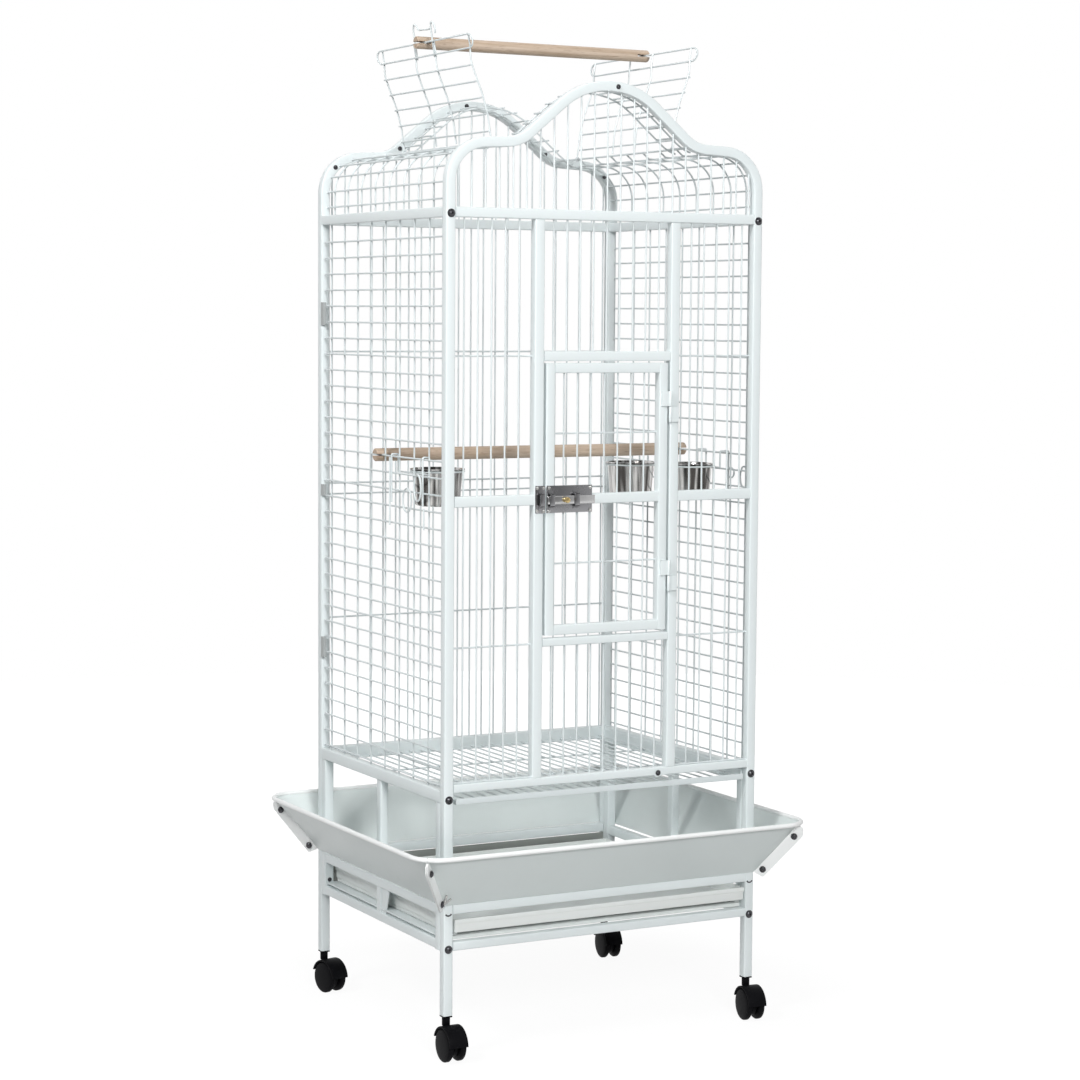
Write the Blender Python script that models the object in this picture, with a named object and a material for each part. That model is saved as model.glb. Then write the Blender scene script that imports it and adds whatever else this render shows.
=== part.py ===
"""Open-top bird cage on a wheeled stand, modelled at real size.

Metres, +Z up, the floor is z = 0, the front is toward -Y and the origin is
under the middle of the stand. Every sub-part is one named closed body.
"""

import math

import bmesh
import bpy
from mathutils import Matrix, Vector

# Overall sizes
width = 0.545
depth = 0.471
tube = 0.015
clear = 0.0003
leg_foot = 0.066
body_base = 0.392
body_top_rail = 0.867
arch_foot = 0.234

# The arch over each end: corner points of its middle line and their radii
shoulder_rise = body_top_rail + 0.100
shoulder_radius = 0.080
valley_at = (0.150, body_top_rail + 0.1055)
valley_radius = 0.060
crown_at = (0.046, body_top_rail + 0.193)
crown_radius = 0.120
bend_step = 15.0

# Wires
wire = 0.0014
weld = 0.0004
bar_pitch = 0.0228
door_bar_pitch = 0.0232
mesh_column = 0.0516
mesh_row = 0.0254
cross_wires = (0.225, 0.657)
roof_row = 0.0245
roof_drop = 0.006
hinge_wire = 0.0016

# Roof opening, its two flaps and the perches
roof_cut = valley_at[0] + 0.008
flap_pivot_rise = body_top_rail + 0.108
flap_column = depth / 2 - tube - 0.0169 - mesh_column
roof_cut_depth = flap_column + 0.006
flap_inner_column = 0.035
flap_rise = 0.1585
flap_loop = 0.0205
flap_lean = {-1: 0.012, 1: -0.030}
perch_slot = wire + 0.0004
perch_radius = 0.010
perch_row = body_top_rail - 0.0355 - 13 * mesh_row

# Front of the cage
stile_wide = 0.016
front_rail = (0.010, 0.0225)
mid_rail = 0.4345
ledge_top = -0.0083
door_half = 0.106
door_low = 0.237
door_high = 0.647
door_frame = tube + 0.001
stile_inner = door_half + 0.0035
hinge_axis = (door_half + 0.002, -depth / 2 - 0.0033)
hinge_rises = {"upper": 0.580, "lower": 0.3205}

# Slide latch: its height, and how far its bar stands off the stile's face
latch_rise = 0.442
bolt_off = (0.0030, 0.0070)
bolt_tall = 0.0125
way_tall = 0.0146
strap_off = 0.009
strap_tall = 0.020

# Stand, tray and guards
guard_reach = 0.069
guard_low = arch_foot
guard_high = guard_low + 0.087
guard_sheet = 0.0015
guard_bead = 0.0037
rail_low = 0.163
tray_floor = 0.1853
tray_lip = tray_floor + 0.0257
wheel_radius = 0.025
wheel_near = 0.0045
wheel_far = 0.0165
caster_trail = 0.017
hood_inner = wheel_radius + 0.0012
hood_outer = wheel_radius + 0.0045

# Cups
cup_radius = 0.0385
cup_lip = cup_radius + 0.0035
cup_lip_under = 0.0027
cup_deep = 0.057

# Values that follow from the ones above
post_x = width / 2 - tube / 2
post_y = depth / 2 - tube / 2
inner_x = width / 2 - tube
inner_y = depth / 2 - tube
half_tube = tube / 2
step_out = 2 * wire - weld


def clear_scene():
    """Start from an empty scene."""
    for item in list(bpy.data.objects):
        bpy.data.objects.remove(item, do_unlink=True)


def finish_material(name, colour, roughness, metallic=0.0):
    """One Principled material for one sub-part."""
    made = bpy.data.materials.new(name)
    made.use_nodes = True
    shader = made.node_tree.nodes["Principled BSDF"]
    shader.inputs["Base Color"].default_value = (*colour, 1.0)
    shader.inputs["Roughness"].default_value = roughness
    shader.inputs["Metallic"].default_value = metallic
    made.diffuse_color = (*colour, 1.0)
    return made


def powder_coat(name):
    """White powder coat on welded steel."""
    return finish_material(name + "_coat", (0.84, 0.86, 0.85), 0.42)


def beech(name):
    """Turned beech, unvarnished."""
    return finish_material(name + "_beech", (0.62, 0.45, 0.30), 0.6)


def bright_steel(name):
    """Polished stainless or chromed steel."""
    return finish_material(name + "_steel", (0.72, 0.72, 0.70), 0.2, 1.0)


def black_plastic(name):
    """Black nylon of the casters."""
    return finish_material(name + "_nylon", (0.012, 0.012, 0.013), 0.4)


def body(name, mesh, paint):
    """Turn drawn faces into one named object with its material."""
    bmesh.ops.recalc_face_normals(mesh, faces=mesh.faces)
    data = bpy.data.meshes.new(name)
    mesh.to_mesh(data)
    mesh.free()
    data.materials.append(paint)
    made = bpy.data.objects.new(name, data)
    bpy.context.scene.collection.objects.link(made)
    return made


def box(mesh, low, high):
    """Draw a block between two corners."""
    low, high = Vector(low), Vector(high)
    place = Matrix.Translation((low + high) / 2) @ Matrix.Diagonal((*(high - low), 1.0))
    bmesh.ops.create_cube(mesh, size=1.0, matrix=place)


def square(size):
    """Section of a square tube."""
    h = size / 2
    return [(h, h), (-h, h), (-h, -h), (h, -h)]


def round_wire(radius=wire):
    """Section of a wire: four ridges, which meet a crossing wire's ridges."""
    return [(radius, 0), (0, radius), (-radius, 0), (0, -radius)]


def sweep(mesh, path, side, section, closed=False):
    """Carry a section along a flat path, mitred at each corner."""
    side = Vector(side).normalized()
    points = [Vector(p) for p in path]
    count = len(points)
    rings = []
    for i, point in enumerate(points):
        ahead = points[(i + 1) % count] - point
        behind = point - points[i - 1]
        if not closed and i == 0:
            behind = ahead
        if not closed and i == count - 1:
            ahead = behind
        ahead.normalize()
        behind.normalize()
        along = (ahead + behind).normalized()
        across = side.cross(along)
        stretch = 1.0 / along.dot(ahead)
        rings.append([mesh.verts.new(point + side * u + across * (v * stretch)) for u, v in section])
    sides = len(section)
    for i in range(count if closed else count - 1):
        here, there = rings[i], rings[(i + 1) % count]
        for j in range(sides):
            k = (j + 1) % sides
            mesh.faces.new((here[j], here[k], there[k], there[j]))
    if not closed:
        mesh.faces.new(rings[0][::-1])
        mesh.faces.new(rings[-1])


def rounded(corners, step=bend_step):
    """Flat polyline with each corner (a, b, radius) turned into a bend."""
    line = []
    for i, (a, b, radius) in enumerate(corners):
        here = Vector((a, b))
        if radius == 0 or i in (0, len(corners) - 1):
            line.append(here)
            continue
        back = (Vector(corners[i - 1][:2]) - here).normalized()
        on = (Vector(corners[i + 1][:2]) - here).normalized()
        turn = math.pi - back.angle(on)
        reach = radius * math.tan(turn / 2)
        hub = here + (back + on).normalized() * (radius / math.cos(turn / 2))
        first = here + back * reach - hub
        steps = max(2, round(math.degrees(turn) / step))
        sign = 1.0 if first.cross(here + on * reach - hub) > 0 else -1.0
        for k in range(steps + 1):
            angle = sign * turn * k / steps
            c, s = math.cos(angle), math.sin(angle)
            line.append(hub + Vector((first.x * c - first.y * s, first.x * s + first.y * c)))
    return line


def shifted(line, amount):
    """The same flat polyline moved sideways, to its right-hand side."""
    moved = []
    for i, point in enumerate(line):
        ahead = (line[min(i + 1, len(line) - 1)] - line[max(i - 1, 0)]).normalized()
        if 0 < i < len(line) - 1:
            a = (line[i + 1] - point).normalized()
            b = (point - line[i - 1]).normalized()
            ahead = (a + b).normalized()
            stretch = 1.0 / ahead.dot(a)
        else:
            stretch = 1.0
        moved.append(point + Vector((ahead.y, -ahead.x)) * amount * stretch)
    return moved


def arch_line(drop=0.0):
    """Middle line of the arch from the left post's head to the right one's."""
    left = [
        (-post_x, body_base + body_top_rail, 0),
        (-post_x, body_base + shoulder_rise, shoulder_radius),
        (-valley_at[0], body_base + valley_at[1], valley_radius),
        (-crown_at[0], body_base + crown_at[1], crown_radius),
    ]
    right = [(-a, b, r) for a, b, r in reversed(left)]
    return shifted(rounded(left + right), drop)


def height_on(line, x):
    """Height of a left-to-right polyline above x."""
    for a, b in zip(line, line[1:]):
        if min(a.x, b.x) <= x <= max(a.x, b.x) and a.x != b.x:
            return a.y + (b.y - a.y) * (x - a.x) / (b.x - a.x)
    return min(line[0].y, line[-1].y)


def marks_along(line, start, pitch):
    """Points at an even pitch along a polyline."""
    found = []
    gone = 0.0
    want = start
    for a, b in zip(line, line[1:]):
        length = (b - a).length
        while want <= gone + length:
            found.append(a.lerp(b, (want - gone) / length))
            want += pitch
        gone += length
    return found


def revolve(mesh, profile, centre, axis, steps, closed=False):
    """Turn a profile of (radius, height) about an axis through the centre."""
    axis = Vector(axis).normalized()
    first = axis.orthogonal().normalized()
    second = axis.cross(first)
    centre = Vector(centre)
    rings = []
    for radius, height in profile:
        if radius == 0:
            rings.append([mesh.verts.new(centre + axis * height)])
            continue
        ring = []
        for k in range(steps):
            angle = 2 * math.pi * (k + 0.5) / steps
            spoke = first * math.cos(angle) + second * math.sin(angle)
            ring.append(mesh.verts.new(centre + spoke * radius + axis * height))
        rings.append(ring)
    pairs = list(zip(rings, rings[1:]))
    if closed:
        pairs.append((rings[-1], rings[0]))
    for low, high in pairs:
        for k in range(steps):
            n = (k + 1) % steps
            if len(low) == 1:
                mesh.faces.new((low[0], high[k], high[n]))
            elif len(high) == 1:
                mesh.faces.new((low[k], low[n], high[0]))
            else:
                mesh.faces.new((low[k], low[n], high[n], high[k]))


def prism(mesh, outline, axis, low, high):
    """Draw a flat outline of points, thickened along one axis."""
    axis = Vector(axis)
    under = [mesh.verts.new(Vector(p) + axis * low) for p in outline]
    over = [mesh.verts.new(Vector(p) + axis * high) for p in outline]
    mesh.faces.new(under[::-1])
    mesh.faces.new(over)
    for i in range(len(outline)):
        k = (i + 1) % len(outline)
        mesh.faces.new((under[i], under[k], over[k], over[i]))


def bake(target):
    """Apply an object's modifiers."""
    graph = bpy.context.evaluated_depsgraph_get()
    made = bpy.data.meshes.new_from_object(target.evaluated_get(graph))
    made.name = target.name
    target.modifiers.clear()
    target.data = made


def combine(base, other, how):
    """Join another piece to the base, or cut it away."""
    tool = base.modifiers.new(how.lower(), "BOOLEAN")
    tool.operation = how
    tool.solver = "EXACT"
    tool.object = other
    bake(base)
    bpy.data.objects.remove(other, do_unlink=True)


def welded(name, paint, *drawers):
    """Draw each group of pieces, then weld the groups into one body."""
    base = None
    for i, draw in enumerate(drawers):
        mesh = bmesh.new()
        draw(mesh)
        piece = body(name if base is None else name + "_group", mesh, paint)
        if base is None:
            base = piece
        else:
            combine(base, piece, "UNION")
    return base


def pivot(target, point):
    """Move an object's origin onto its joint without moving its shape."""
    point = Vector(point)
    target.data.transform(Matrix.Translation(-point))
    target.location = point
    return target


def rod_z(mesh, x, y, low, high, section=None):
    """Straight upright bar."""
    sweep(mesh, [(x, y, low), (x, y, high)], (0, 1, 0), section or round_wire())


def rod_x(mesh, low, high, y, z, section=None):
    """Straight bar from left to right."""
    sweep(mesh, [(low, y, z), (high, y, z)], (0, 1, 0), section or round_wire())


def rod_y(mesh, x, low, high, z, section=None):
    """Straight bar from front to rear."""
    sweep(mesh, [(x, low, z), (x, high, z)], (0, 0, 1), section or round_wire())


def hoop(name, y):
    """Two posts and the arch over them, bent from one square tube."""
    line = arch_line()
    ends = [Vector((-post_x, arch_foot + clear)), Vector((post_x, arch_foot + clear))]
    path = [(p.x, y, p.y) for p in [ends[0]] + line[1:-1] + [ends[1]]]
    mesh = bmesh.new()
    sweep(mesh, path, (0, 1, 0), square(tube))
    return body(name, mesh, powder_coat(name))


def bar_places(half_span):
    """Even bar positions inside a span, one of them in the middle."""
    count = int((half_span - 0.004) / bar_pitch)
    return [i * bar_pitch for i in range(-count, count + 1)]


def gable(name, y):
    """Top rail with the bars that rise to the arch."""
    low = body_base + body_top_rail
    under = arch_line(half_tube + clear)

    def rail(mesh):
        box(
            mesh,
            (-inner_x + clear, y - half_tube, low - half_tube),
            (inner_x - clear, y + half_tube, low + half_tube),
        )

    def bars(mesh):
        for x in bar_places(inner_x):
            top = min(height_on(under, x + wire), height_on(under, x - wire))
            rod_z(mesh, x, y, low, top)

    return welded(name, powder_coat(name), rail, bars)


def front_bottom_rail(name):
    """Rail across the front above the grate."""
    mesh = bmesh.new()
    low, high = front_rail
    box(
        mesh,
        (-inner_x + clear, -depth / 2, body_base + low),
        (inner_x - clear, -inner_y, body_base + high),
    )
    return body(name, mesh, powder_coat(name))


def front_side_grille(name, hand):
    """Stile, middle rail and bars between the stile and a post."""
    near = stile_inner
    far = inner_x - clear
    low = body_base + front_rail[1] + clear
    high = body_base + body_top_rail - half_tube - clear

    def stile(mesh):
        x = sorted((hand * near, hand * (near + stile_wide)))
        box(mesh, (x[0], -depth / 2, low), (x[1], -inner_y, high))

    def rail(mesh):
        x = sorted((hand * (near + 0.004), hand * far))
        z = body_base + mid_rail
        box(mesh, (x[0], -depth / 2 + 0.001, z), (x[1], -inner_y - 0.001, z + 0.016))

    def bars(mesh):
        first = near + stile_wide + 0.0233
        for i in range(int((inner_x - 0.004 - first) / bar_pitch) + 1):
            rod_z(mesh, hand * (first + i * bar_pitch), -post_y, low, high)

    def wires(mesh):
        for z in cross_wires:
            x = sorted((hand * (near + 0.006), hand * far))
            rod_x(mesh, x[0], x[1], -post_y + step_out, body_base + z)

    return welded(name, powder_coat(name), stile, rail, bars, wires)


def front_middle_grille(name, low, high, rail_low_z, rail_high_z):
    """Rail between the stiles with the bars above or below it."""
    far = stile_inner - clear

    def rail(mesh):
        box(mesh, (-far, -depth / 2, rail_low_z), (far, -inner_y, rail_high_z))

    def bars(mesh):
        for x in bar_places(far):
            rod_z(mesh, x, -post_y, low, high)

    return welded(name, powder_coat(name), rail, bars)


def rear_grille(name):
    """Whole back panel below the rear top rail."""
    far = inner_x - clear
    high = body_base + body_top_rail - half_tube - clear

    def rail(mesh):
        box(mesh, (-far, inner_y, body_base - 0.008), (far, depth / 2, body_base + 0.012))

    def bars(mesh):
        for i, x in enumerate(bar_places(inner_x)):
            back = 0.0 if i % 2 == 0 else weld + clear
            rod_z(mesh, x, post_y + back, body_base, high)

    def wires(mesh):
        for z in (*cross_wires, mid_rail - 0.008, mid_rail + 0.0095):
            rod_x(mesh, -far, far, post_y - step_out, body_base + z)

    return welded(name, powder_coat(name), rail, bars, wires)


def mesh_columns():
    """Places of the side mesh's uprights, from the rear to the front.

    Only some uprights are drawn as welded to the rows that cross them. The
    others stand a gap behind the rows, which keeps the facets few.
    """
    rear, front = inner_y - 0.0235, 0.0115 - inner_y
    count = int((rear - front - mesh_column / 2) / mesh_column) + 1
    return [rear - mesh_column * i for i in range(count)] + [front]


def side_panel(name, hand):
    """Side rails with the welded wire mesh between them."""
    x = hand * post_x
    far = inner_y - clear
    top = body_base + body_top_rail
    shelf = hand * (inner_x - 0.0005)

    def rails(mesh):
        xs = sorted((shelf, hand * width / 2))
        box(mesh, (xs[0], -far, body_base - 0.006), (xs[1], far, body_base + 0.012))
        xs = sorted((hand * inner_x, hand * width / 2))
        box(mesh, (xs[0], -far, top - half_tube), (xs[1], far, top + half_tube))

    def ledge(mesh):
        outer = hand * (inner_x - 0.0001)
        mid = hand * (inner_x - 0.0016)
        inner = hand * (inner_x - 0.012)
        low = body_base + ledge_top - 0.002
        outline = [
            (outer, -far, body_base + 0.008),
            (outer, -far, low),
            (inner, -far, low),
            (inner, -far, low + 0.002),
            (mid, -far, low + 0.002),
            (mid, -far, body_base + 0.008),
        ]
        prism(mesh, outline, (0, 1, 0), 0.0, 2 * far)

    def uprights(mesh):
        columns = mesh_columns()
        for y in columns:
            back = 0.0 if y in (columns[0], columns[-1]) else weld + clear
            rod_z(mesh, x - hand * back, y, body_base + 0.006, top)

    def rows(mesh):
        end = inner_y - 0.006
        z = body_base + perch_row + 13 * mesh_row
        while z > body_base + 0.013:
            rod_y(mesh, x + hand * step_out, -end, end, z)
            z -= mesh_row

    return welded(name, powder_coat(name), rails, ledge, uprights, rows)


def roof_profile():
    """Line that the roof mesh follows, below the arch's middle line."""
    return arch_line(roof_drop)


def split_profile(hand, keep_shoulder):
    """The part of the roof line on one shoulder, or over the dome."""
    line = roof_profile()
    if keep_shoulder:
        edge = [p for p in line if hand * p.x > roof_cut + 0.004]
        if hand > 0:
            edge.reverse()
        top = Vector((hand * roof_cut, body_base + flap_pivot_rise))
        return edge + [top]
    far = roof_cut - clear - wire
    inside = [p for p in line if abs(p.x) < far - 0.003]
    ends = [Vector((s * far, height_on(line, s * far))) for s in (-1, 1)]
    return [ends[0]] + inside + [ends[1]]


def roof_shoulder(name, hand):
    """Fixed roof mesh from a side's top rail to the flap's hinge wire."""
    line = split_profile(hand, True)
    start = Vector((line[0].x, body_base + body_top_rail + half_tube + clear))
    line = [start] + [p for p in line if p.y > start.y + 0.004]
    far = inner_y - clear
    side = (0, 1, 0)
    out = shifted(line, hand * step_out)

    def profiles(mesh):
        free = shifted(line, -hand * (weld + clear))
        for i, y in enumerate(mesh_columns()):
            drawn = line if i % 4 == 0 else free
            sweep(mesh, [(p.x, y, p.y) for p in drawn], side, round_wire())

    def rows(mesh):
        for p in marks_along(out, 0.014, roof_row)[:-1]:
            rod_y(mesh, p.x, -far, far, p.y)
        p = line[-1]
        rod_y(mesh, p.x, -far, far, body_base + flap_pivot_rise, round_wire(hinge_wire))

    return welded(name, powder_coat(name), profiles, rows)


def roof_strip(name, hand):
    """Narrow fixed mesh over the dome beside one arch."""
    line = split_profile(0, False)
    out = shifted(line, -step_out)
    side = (0, 1, 0)
    edge = hand * (inner_y - clear)
    near = hand * roof_cut_depth

    def profiles(mesh):
        for y in (inner_y - 0.0115, roof_cut_depth + 0.0062):
            sweep(mesh, [(p.x, hand * y, p.y) for p in line], side, round_wire())

    def rows(mesh):
        for p in marks_along(out, 0.012, roof_row):
            ys = sorted((edge, near))
            rod_y(mesh, p.x, ys[0], ys[1], p.y)

    return welded(name, powder_coat(name), profiles, rows)


def flap_line(hand):
    """Side view of an open flap, from its hinge to its top wire."""
    steps = [
        (0.0000, 0.0032),
        (0.0050, 0.0400),
        (0.0140, 0.0713),
        (0.0260, 0.1005),
        (0.0330, 0.1197),
        (0.0343, 0.1413),
        (0.0372, flap_rise),
    ]
    base, lean = body_base + flap_pivot_rise, flap_lean[hand]
    return [Vector((hand * (roof_cut + a + lean * b), base + b)) for a, b in steps]


def line_length(line):
    """Length along a polyline."""
    return sum((b - a).length for a, b in zip(line, line[1:]))


def flap(name, hand):
    """Hinged half of the roof opening, standing open."""
    line = flap_line(hand)
    columns = (-flap_column, -flap_inner_column, flap_inner_column, flap_column)
    side = (0, 1, 0)
    base = body_base + flap_pivot_rise
    loop_foot = line_length(line) - flap_loop
    top, under = line[-1], marks_along(line, loop_foot, 1.0)[0]
    lean = top - under
    outward = Vector((lean.y, 0, -lean.x)).normalized()

    def profiles(mesh):
        for y in columns:
            sweep(mesh, [(p.x, y, p.y) for p in line], side, round_wire())

    def rows(mesh):
        out = shifted(line, hand * step_out)
        far = flap_column + wire
        for p in marks_along(out, loop_foot % mesh_row, mesh_row):
            if p.y < under.y - mesh_row / 2:
                rod_y(mesh, p.x, -far, far, p.y)

    def top_loop(mesh):
        shift = outward * (hand * step_out)
        near, mid, far = (flap_column + out for out in (0.0060, 0.0145, 0.0170))
        right = [(near, 0.0), (mid, 0.2), (far, 0.5), (mid, 0.8), (near, 1.0)]
        path = []
        for y, share in right + [(-y, share) for y, share in reversed(right)]:
            p = under.lerp(top, share)
            path.append(Vector((p.x, y, p.y)) + shift)
        sweep(mesh, path, outward, round_wire(), closed=True)

    def sleeves(mesh):
        for y in (columns[0], columns[-1]):
            place = (hand * roof_cut, y, base)
            bore = hinge_wire + 0.0005
            profile = [(bore, -0.003), (bore + 0.0021, -0.003), (bore + 0.0021, 0.003), (bore, 0.003)]
            revolve(mesh, profile, place, (0, 1, 0), 8, closed=True)

    def latch_wires(mesh):
        rear = [(0.0305, -0.20), (0.0305, 2.15), (0.0265, 2.45), (0.0205, 2.43), (0.0130, 1.98)]
        front = [(-0.0305, -0.20), (-0.0305, 2.15), (-0.0340, 2.42), (-0.0410, 2.31), (-0.0455, 1.82), (-0.0420, 1.54)]
        for shape in (rear, front):
            path = []
            for y, share in shape:
                p = under.lerp(top, share)
                path.append(Vector((p.x, y, p.y)))
            sweep(mesh, path, outward, round_wire())

    if hand > 0:
        return profiles, rows, top_loop, sleeves
    return profiles, rows, top_loop, sleeves, latch_wires


def roof_flap(name, hand):
    """A flap on its hinge."""
    made = welded(name, powder_coat(name), *flap(name, hand))
    return pivot(made, (hand * roof_cut, 0, body_base + flap_pivot_rise))


def perch(name, low, high, y, z, radius, slot, paint):
    """Round perch with a slot across each end for a wire."""
    mesh = bmesh.new()
    chamfer = 0.0015
    profile = [
        (0, low),
        (radius - chamfer, low),
        (radius, low + chamfer),
        (radius, high - chamfer),
        (radius - chamfer, high),
        (0, high),
    ]
    revolve(mesh, profile, (0, y, z), (1, 0, 0), 16)
    made = body(name, mesh, paint)
    cutter = bmesh.new()
    box(cutter, (low - 0.01, y - 0.02, z - slot), (low + 0.023, y + 0.02, z + slot))
    box(cutter, (high - 0.023, y - 0.02, z - slot), (high + 0.01, y + 0.02, z + slot))
    combine(made, body(name + "_slots", cutter, paint), "DIFFERENCE")
    return made


def door(name):
    """Front door: frame, middle rail, bars, cross wires and hinge leaves."""
    base = body_base
    inset = door_frame / 2
    half = door_half - inset
    low, high = base + door_low + inset, base + door_high - inset
    y = -post_y

    def frame(mesh):
        path = [(-half, y, low), (half, y, low), (half, y, high), (-half, y, high)]
        sweep(mesh, path, (0, 1, 0), square(tube - 0.0001), closed=True)

    def rail(mesh):
        deep = half_tube - 0.0005
        box(mesh, (-half, y - deep, base + mid_rail), (half, y + deep, base + mid_rail + 0.0155))

    def bars(mesh):
        count = int((half - 0.010) / door_bar_pitch)
        for i in range(-count, count + 1):
            rod_z(mesh, -0.0022 + i * door_bar_pitch, y, low, high)

    def wires(mesh):
        for z in (door_low + 0.108, door_high - 0.106):
            rod_x(mesh, -half, half, y + step_out, base + z)

    def leaves(mesh):
        ax, ay = hinge_axis
        back = -depth / 2 + 0.0012
        for z in hinge_rises.values():
            outline = [
                (ax - 0.0145, back, base + z),
                (ax - 0.0145, ay - 0.0008, base + z),
                (ax - 0.0010, ay - 0.0008, base + z),
                (ax - 0.0010, ay + 0.0008, base + z),
                (ax - 0.0035, ay + 0.0008, base + z),
                (ax - 0.0035, back, base + z),
            ]
            prism(mesh, outline, (0, 0, 1), 0.0006, 0.0233)

    def knuckles(mesh):
        ax, ay = hinge_axis
        for z in hinge_rises.values():
            profile = [(0, 0.0003), (0.0026, 0.0003), (0.0026, 0.0236), (0, 0.0236)]
            revolve(mesh, profile, (ax, ay, base + z), (0, 0, 1), 10)

    return frame, rail, bars, wires, leaves, knuckles


def front_door(name):
    """The door on its hinge axis."""
    made = welded(name, powder_coat(name), *door(name))
    return pivot(made, (*hinge_axis, body_base + door_low))


def hinge(name, z):
    """Fixed leaf and lower knuckle of a door hinge."""
    ax, ay = hinge_axis
    base = body_base + z

    def leaf(mesh):
        face = -depth / 2 - clear
        outline = [
            (ax + 0.0150, face, base),
            (ax + 0.0150, ay - 0.0008, base),
            (ax + 0.0010, ay - 0.0008, base),
            (ax + 0.0010, ay + 0.0008, base),
            (ax + 0.0040, ay + 0.0008, base),
            (ax + 0.0040, face, base),
        ]
        prism(mesh, outline, (0, 0, 1), -0.0237, -0.0006)

    def knuckle(mesh):
        profile = [(0, -0.0240), (0.0026, -0.0240), (0.0026, -0.0003), (0, -0.0003)]
        revolve(mesh, profile, (ax, ay, base), (0, 0, 1), 10)

    return welded(name, powder_coat(name), leaf, knuckle)


def latch_pressing(name, edges, straps, half_strap):
    """Plate with straps that stand off it, and the bar's way cut through them."""
    face = -depth / 2 - clear
    middle = body_base + latch_rise
    paint = bright_steel(name)

    def plate(mesh):
        box(mesh, (edges[0], face - 0.0012, middle - 0.0195), (edges[1], face, middle + 0.0215))

    def loops(mesh):
        half = strap_tall / 2
        for x in straps:
            box(mesh, (x - half_strap, face - strap_off, middle - half), (x + half_strap, face - 0.0006, middle + half))

    made = welded(name, paint, plate, loops)
    cutter = bmesh.new()
    half = way_tall / 2
    low = (edges[0] - 0.01, face - bolt_off[1] - clear, middle - half)
    box(cutter, low, (edges[1] + 0.01, face - bolt_off[0] + clear, middle + half))
    combine(made, body(name + "_way", cutter, paint), "DIFFERENCE")
    return made


def latch_bolt(name, carrier):
    """Sliding bar, drawn back from the keeper."""
    face = -depth / 2 - clear
    middle = body_base + latch_rise
    half = bolt_tall / 2
    mesh = bmesh.new()
    box(mesh, (-door_half, face - bolt_off[1], middle - half), (0.0670 - door_half, face - bolt_off[0], middle + half))
    made = pivot(body(name, mesh, bright_steel(name)), (0.0335 - door_half, face, middle))
    made.location -= carrier.location
    made.parent = carrier
    return made


def latch_grip(name, carrier, bolt):
    """Round grip that stands on the sliding bar."""
    face = -depth / 2 - clear
    foot = Vector((0.0310 - door_half, face - bolt_off[1] - clear, body_base + latch_rise))
    radius, height = 0.0045, 0.0067
    mesh = bmesh.new()
    profile = [(0, 0), (radius, 0), (radius, height - 0.0010), (radius - 0.0010, height), (0, height)]
    revolve(mesh, profile, foot, (0, -1, 0), 12)
    made = pivot(body(name, mesh, bright_steel(name)), foot)
    made.location -= carrier.location + bolt.location
    made.parent = bolt
    return made


def turn_button(name):
    """Teardrop tab on the front bottom rail, turned aside."""
    face = -depth / 2 - clear
    hub = Vector((stile_inner - 0.016, face, body_base + front_rail[0] + 0.0045))
    outline = []
    for k in range(9):
        angle = math.radians(90 + 22.5 * k)
        outline.append((hub.x + 0.0068 * math.cos(angle), hub.y, hub.z + 0.0068 * math.sin(angle)))
    outline.append((hub.x + 0.0200, hub.y, hub.z - 0.0040))
    outline.append((hub.x + 0.0235, hub.y, hub.z))
    outline.append((hub.x + 0.0200, hub.y, hub.z + 0.0040))
    mesh = bmesh.new()
    prism(mesh, outline, (0, -1, 0), 0.0, 0.0016)
    made = body(name, mesh, powder_coat(name))
    return pivot(made, hub)


def grate(name):
    """Wire floor that slides out at the front."""
    level = body_base + ledge_top + clear + wire + step_out
    front, rear = -inner_y - 0.0105, inner_y - 0.0015
    half = inner_x - 0.0055
    pitch = 0.0190

    def strip(mesh):
        box(mesh, (-half, front - 0.0016, body_base - 0.0086), (half, front, body_base + 0.0005))

    def runs(mesh):
        count = int((half - 0.004) / pitch)
        for i in range(-count, count + 1):
            rod_y(mesh, i * pitch, front - 0.0008, rear, level)

    def ties(mesh):
        end = inner_y - 0.0065
        for y in (-end, -0.0710, 0.0720, end):
            rod_x(mesh, -half, half, y, level - step_out)

    made = welded(name, powder_coat(name), strip, runs, ties)
    return pivot(made, (0, front, level))


def tray(name):
    """Sheet tray with upright walls that slides out at the front."""
    half = inner_x - 0.0025
    front, rear = -depth / 2 - 0.0005, inner_y - 0.0165
    mesh = bmesh.new()
    box(mesh, (-half, front, tray_floor), (half, rear, tray_lip))
    made = body(name, mesh, powder_coat(name))
    cutter = bmesh.new()
    wall = 0.0018
    box(cutter, (-half + wall, front + wall, tray_floor + wall), (half - wall, rear - wall, tray_lip + 0.02))
    combine(made, body(name + "_hollow", cutter, powder_coat(name + "_hollow")), "DIFFERENCE")
    return pivot(made, (0, front, tray_floor))


def leg(name, x, y):
    """Corner leg below the arch's post, down to the caster."""
    mesh = bmesh.new()
    box(mesh, (x - half_tube, y - half_tube, leg_foot), (x + half_tube, y + half_tube, arch_foot))
    return body(name, mesh, powder_coat(name))


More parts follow.
